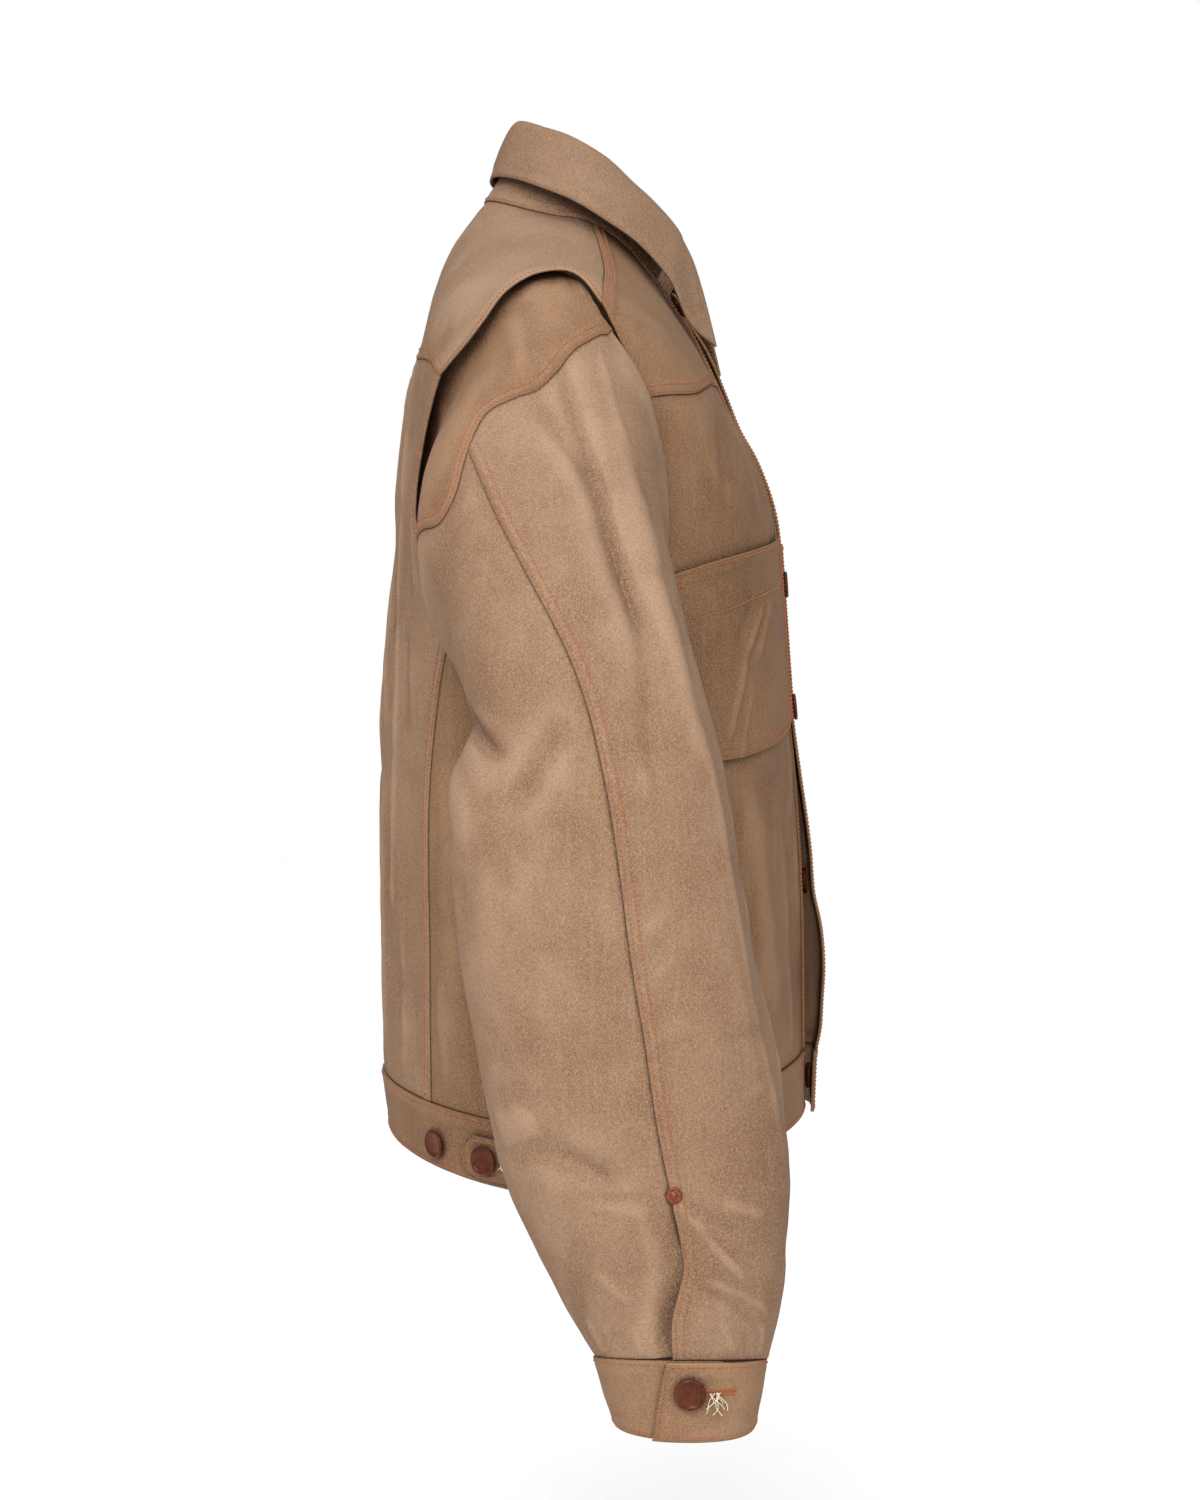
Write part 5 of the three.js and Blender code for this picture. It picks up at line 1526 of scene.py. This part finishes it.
def stitch_body():
    threads = Threads()
    for word, side in SIDES:
        row(threads, "yoke_back", body_trace(side, yoke_free_edge, True), ROW_NEAR)
        row(threads, "panel_back", body_trace(side, back_free_edge, True), ROW_NEAR)
        double_row(threads, "yoke_back", body_trace(side, back_yoke_seam, True))
        double_row(threads, "panel_back", body_trace(side, side_back_seam, True))
        double_row(threads, f"yoke_front_{word}", body_trace(side, shoulder_seam))
        double_row(threads, f"yoke_front_{word}", body_trace(side, front_yoke_seam))
        edge = body_trace(side, armhole_line(FRONT_YOKE_TURN, UNDERARM_TURN))
        row(threads, f"panel_front_{word}", edge, ROW_NEAR)
        for edge in placket_edges(side):
            row(threads, f"strip_{word}", edge, ROW_NEAR)
    for z, _ in FRONT_BUTTONS[:-1]:
        v = height_at(0, z)[1]
        ends = [placket_at(HOLE_OFFSET + way * HOLE_LENGTH / 2, v) for way in (1, -1)]
        buttonhole(threads, "strip_left", *(body_point(LEFT, u, v, WALL) for u, v in ends))
    threads.finish("stitching_body", "thread")


def stitch_trim():
    threads = Threads()
    top, bottom, front, back = pocket_lines()
    facing_line = lambda t: fill(top, bottom, front, back)(t, np.full(np.shape(t), POCKET_FACING))
    for word, side in SIDES:
        piece = f"pocket_{word}"
        for line in (bottom, front, back):
            for inset in POCKET_ROWS:
                row(threads, piece, body_trace(side, line, lift=POCKET_LIFT), inset)
        row(threads, piece, body_trace(side, top, lift=POCKET_LIFT), POCKET_ROWS[0])
        for out, away, z in ((POCKET_FRONT, 1, POCKET_TOP[0]), (POCKET_BACK, -1, POCKET_TOP[1])):
            ends = [front_at(out + away * step, z - POCKET_TACK_DROP) for step in POCKET_TACK]
            bar_tack(threads, piece, *(body_point(side, u, v, WALL + POCKET_LIFT) for u, v in ends))
        row(threads, piece, body_trace(side, facing_line, lift=POCKET_LIFT))
        row(threads, f"tab_{word}", body_trace(side, tab_outline, lift=TAB_LIFT), TAB_ROW)
        for edge in cuff_edges(side):
            row(threads, f"cuff_band_{word}", edge, ROW_NEAR)
        for v in (WAIST_SEAM, HEM):
            start = float(across_at(-PLACKET_HALF, float(v)))
            row(threads, "band_waist", body_trace(side, straight((start, v), (1, v))), ROW_NEAR)
        end = placket_line(WAIST_SEAM, HEM, -PLACKET_HALF)
        row(threads, "band_waist", body_trace(side, end), ROW_NEAR)
        buttonhole(threads, f"cuff_band_{word}", *(cuff_spot(side, turn)[0] for turn in CUFF_HOLE_TURNS))
    threads.finish("stitching_trim", "thread")


def stitch_sleeves():
    threads = Threads()
    for word, side in SIDES:
        double_row(threads, f"sleeve_fore_{word}", sleeve_trace(side, outer_seam))
        double_row(threads, f"gusset_{word}", sleeve_trace(side, cap_seam))
        double_row(threads, f"sleeve_rear_{word}", sleeve_trace(side, inner_seam_back))
        row(threads, "stand_collar", stand_foot(side), ROW_NEAR)
        for edge in fall_edges(side):
            row(threads, "fall_collar", edge, ROW_NEAR)
    threads.finish("stitching_sleeves", "thread")


# Buttons and rivets
def turned(name, profile, spot, out, material, sides):
    """A round piece standing on a spot along a direction."""
    out = Vector(out).normalized()
    across = out.orthogonal().normalized()
    other = out.cross(across)
    points, faces = [], []
    for radius, height in profile:
        for k in range(sides):
            angle = 2 * math.pi * k / sides
            around = math.cos(angle) * across + math.sin(angle) * other
            points.append(Vector(spot) + out * height + radius * around)
    for ring in range(len(profile) - 1):
        for k in range(sides):
            a, b = ring * sides + k, ring * sides + (k + 1) % sides
            faces.append((a, b, b + sides, a + sides))
    faces.append(tuple(range(sides))[::-1])
    faces.append(tuple(range((len(profile) - 1) * sides, len(profile) * sides)))
    return add_mesh(name, points, faces, material, smooth_all=False)


# Half sections of a button and of a rivet: radius, height
BUTTON_PROFILE = (
    (0.05, 0), (5.6, 0), (7.2, 0.5), (8.1, 1.2), (8.5, 1.9), (8.45, 2.6), (8.1, 3.1), (7.6, 3.35), (7.1, 3.4),
    (6.7, 3.25), (6.35, 2.9), (6.0, 2.65), (4.0, 2.45), (2.0, 2.4), (0.05, 2.4),
)
RIVET_PROFILE = (
    (0.05, 0), (4.2, 0), (4.4, 0.25), (4.25, 0.55), (3.4, 0.7), (2.5, 0.5), (2.05, 0.6), (1.7, 1.15),
    (1.0, 1.5), (0.05, 1.6),
)


def body_spot(side, u, v, height):
    out = facing(lambda p, q: body_point(side, p, q, height), u, v, *BODY_STEP)
    return body_point(side, u, v, height), side * out


def spot_on(surface, height):
    """A spot at a height over a surface, and the direction out of the surface there."""
    spot = surface(height)
    return spot, unit(spot - surface(0.0))


def cuff_spot(side, turn):
    return spot_on(lambda height: cuff_point(side, turn, CUFF_BUTTON_PART, height), CUFF_LIFT + DOUBLE_WALL)


def fasten(node, spot, out, profile=BUTTON_PROFILE, material="button", sides=48):
    made = turned(f"{node}_detail", profile, spot + out * BUTTON_GAP, out, material, sides)
    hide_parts(node)


def buttons():
    for i, (z, fastened) in enumerate(FRONT_BUTTONS):
        u, v = placket_at(0.0, height_at(0, z)[1])
        wall = DOUBLE_WALL if v > WAIST_SEAM else WALL
        fasten(f"front_button_{i + 1}", *body_spot(LEFT if fastened else RIGHT, u, v, wall))
    for word, side in SIDES:
        for i, (y, z, on_tab) in enumerate(TAB_BUTTONS):
            layers = TAB_LIFT + DOUBLE_WALL if on_tab else DOUBLE_WALL
            fasten(f"waist_button_{word}_{i + 1}", *body_spot(side, *seen_at(y, z), layers))
        fasten(f"cuff_button_{word}", *cuff_spot(side, CUFF_BUTTON_TURN))
        turn = float(column(OUTER_SEAM, SLIT_TOP)) + RIVET_TURN
        spot, out = spot_on(lambda height: sleeve_point(side, turn, SLIT_TOP, height), WALL)
        fasten(f"slit_rivet_{word}", spot, out, RIVET_PROFILE, "rivet", 32)


def loose_threads(name, spot, out, count, length):
    """Frayed ends that hang from a spot, each with its own length, sway and curl."""
    threads = Threads()
    aside = unit(np.cross(out, [0.0, 0.0, 1.0]))
    t = np.linspace(0, 1, 9)[:, None]
    for i in range(count):
        reach = length * (0.45 + 0.55 * ((i * 7) % count) / count)
        sway = math.sin(2.4 * i) * 0.45 * length
        stand = 0.6 + 1.6 * np.sin(math.pi * t) * (0.5 + 0.5 * math.sin(i))
        across = sway * t**1.3 + 1.3 * np.sin(5 * t + i) + (i / count - 0.5) * 5
        line = spot + out * stand + aside * across - np.array([0, 0, 1.0]) * reach * t
        threads.add(line[:-1], line[1:], np.repeat(out[None], 8, 0), FRAY_THREAD, 0.0, 0.0)
    threads.finish(name, "cream")


def frayed_ends():
    for word, side in SIDES:
        loose_threads(f"fray_cuff_{word}", *cuff_spot(side, CUFF_FRAY_TURN), *CUFF_FRAY)
        y, z, _ = TAB_BUTTONS[0]
        spot, out = body_spot(side, *seen_at(y - TAB_FRAY_AWAY, z), TAB_LIFT + DOUBLE_WALL)
        loose_threads(f"fray_tab_{word}", spot, out, *TAB_FRAY)


# Each piece of cloth: its solid, width and length of its cut in metres, its flat area, what it hangs from
CUTS = (
    ("yoke_back", "back_yoke", 0.46, 0.2, 0.056, "collar_stand"),
    ("panel_back", "back_panel", 0.4, 0.47, 0.148, "back_yoke"),
    ("band_waist", "waistband", 1.076, 0.038, None, "back_panel"),
    ("stand_collar", "collar_stand", 0.4, 0.046, 0.0165, "back_yoke"),
    ("fall_collar", "collar_fall", 0.43, 0.07, 0.0215, "collar_stand"),
)
PAIR_CUTS = (
    ("yoke_front_", "front_yoke_", 0.16, 0.14, 0.015, "back_yoke"),
    ("panel_front_", "front_panel_", 0.31, 0.46, 0.117, "front_yoke_"),
    ("strip_", "placket_", 0.038, 0.515, None, "front_yoke_"),
    ("pocket_", "chest_pocket_", 0.163, 0.14, 0.02, "front_panel_"),
    ("tab_", "adjuster_tab_", 0.1, 0.026, None, "waistband"),
    ("sleeve_fore_", "sleeve_front_", 0.215, 0.56, 0.099, "shoulder_gusset_"),
    ("sleeve_rear_", "sleeve_back_", 0.2, 0.56, 0.091, "shoulder_gusset_"),
    ("gusset_", "shoulder_gusset_", 0.27, 0.14, 0.0237, "back_yoke"),
    ("cuff_band_", "cuff_", 0.32, 0.035, None, "sleeve_back_"),
)


def declare_cloth():
    rows = list(CUTS)
    for word, _ in SIDES:
        for piece, node, width, length, area, holder in PAIR_CUTS:
            holder = holder + word if holder.endswith("_") else holder
            rows.append((piece + word, node + word, width, length, area, holder))
    for piece, node, width, length, area, holder in rows:
        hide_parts(node)


# Studio, in metres and watts: brightness beside the camera and across from it, then below and above
SOFT_SIDES = (0.76, 0.2)
SOFT_HEIGHTS = (0.72, 3.9)
FLOOR_REACH, FLOOR_LEVEL = 12.0, -0.95
# Lamps: name, place, size, power
LAMPS = (
    ("key", (-1.9, 0.2, 0.8), (1.2, 1.2), 36),
    ("fill", (-2.2, -0.5, -0.2), (1.4, 1.8), 4),
)
LAMP_TARGET = (0, 0, -0.4)
EYE_DISTANCE, EYE_HEIGHT = 1.6, -0.325
EYE_YAW = math.radians(4)
LENS, SENSOR = 60, 36


def area_light(name, place, size, power):
    light = bpy.data.lights.new(name, "AREA")
    light.shape = "RECTANGLE"
    light.size, light.size_y = size
    light.energy = power
    lamp = place_thing(name, light)
    lamp.location = place
    lamp.rotation_euler = (Vector(LAMP_TARGET) - Vector(place)).to_track_quat("-Z", "Y").to_euler()


def soft_box():
    """Light from all round: bright beside the camera and above, dim elsewhere, white behind the jacket."""
    world = bpy.data.worlds.new("studio")
    world.use_nodes = True
    nodes, links = world.node_tree.nodes, world.node_tree.links
    direction = nodes.new("ShaderNodeSeparateXYZ")
    links.new(nodes.new("ShaderNodeTexCoord").outputs["Generated"], direction.inputs[0])

    def spread(axis, low, high, first, last):
        made = nodes.new("ShaderNodeMapRange")
        made.interpolation_type = "SMOOTHSTEP"
        links.new(direction.outputs[axis], made.inputs["Value"])
        set_inputs(made, From_Min=low, From_Max=high, To_Min=first, To_Max=last)
        return made.outputs["Result"]

    def join(operation, a, b):
        made = nodes.new("ShaderNodeMath")
        made.operation = operation
        links.new(a, made.inputs[0])
        links.new(b, made.inputs[1])
        return made.outputs[0]

    around = join("MULTIPLY", spread("X", -0.9, 0.1, *SOFT_SIDES), spread("Z", -0.2, 1.0, *SOFT_HEIGHTS))
    background = nodes["Background"]
    background.inputs["Color"].default_value = (1, 1, 1, 1)
    links.new(join("MAXIMUM", around, spread("X", 0.8, 0.88, 0.0, 1.0)), background.inputs["Strength"])
    return world


def studio():
    bpy.context.scene.world = soft_box()
    bpy.context.scene.view_settings.view_transform = "Standard"
    mesh = bpy.data.meshes.new("floor")
    ways = ((-1, -1), (1, -1), (1, 1), (-1, 1))
    corners = [(x * FLOOR_REACH, y * FLOOR_REACH, FLOOR_LEVEL) for x, y in ways]
    mesh.from_pydata(corners, [], [(0, 1, 2, 3)])
    mesh.materials.append(simple_material("studio_floor", (0.93, 0.93, 0.93), (0.95, 0.95, 0.95), 3, 0.9))
    place_thing("floor", mesh)
    for lamp in LAMPS:
        area_light(*lamp)


def camera():
    data = bpy.data.cameras.new("camera")
    data.lens = LENS
    data.sensor_width = SENSOR
    eye = place_thing("camera", data)
    eye.location = (-EYE_DISTANCE * math.cos(EYE_YAW), -EYE_DISTANCE * math.sin(EYE_YAW), EYE_HEIGHT)
    eye.rotation_euler = (math.pi / 2, 0, EYE_YAW - math.pi / 2)
    bpy.context.scene.camera = eye


camera()
studio()
back_yoke()
back_panel()
waistband()
collar()
for word, side in SIDES:
    front_yoke(word, side)
    front_panel(word, side)
    placket(word, side)
    chest_pocket(word, side)
    adjuster_tab(word, side)
    sleeve_front(word, side)
    sleeve_back(word, side)
    shoulder_gusset(word, side)
    cuff(word, side)
declare_cloth()
stitch_body()
stitch_trim()
stitch_sleeves()
buttons()
frayed_ends()

bpy.context.view_layer.update()
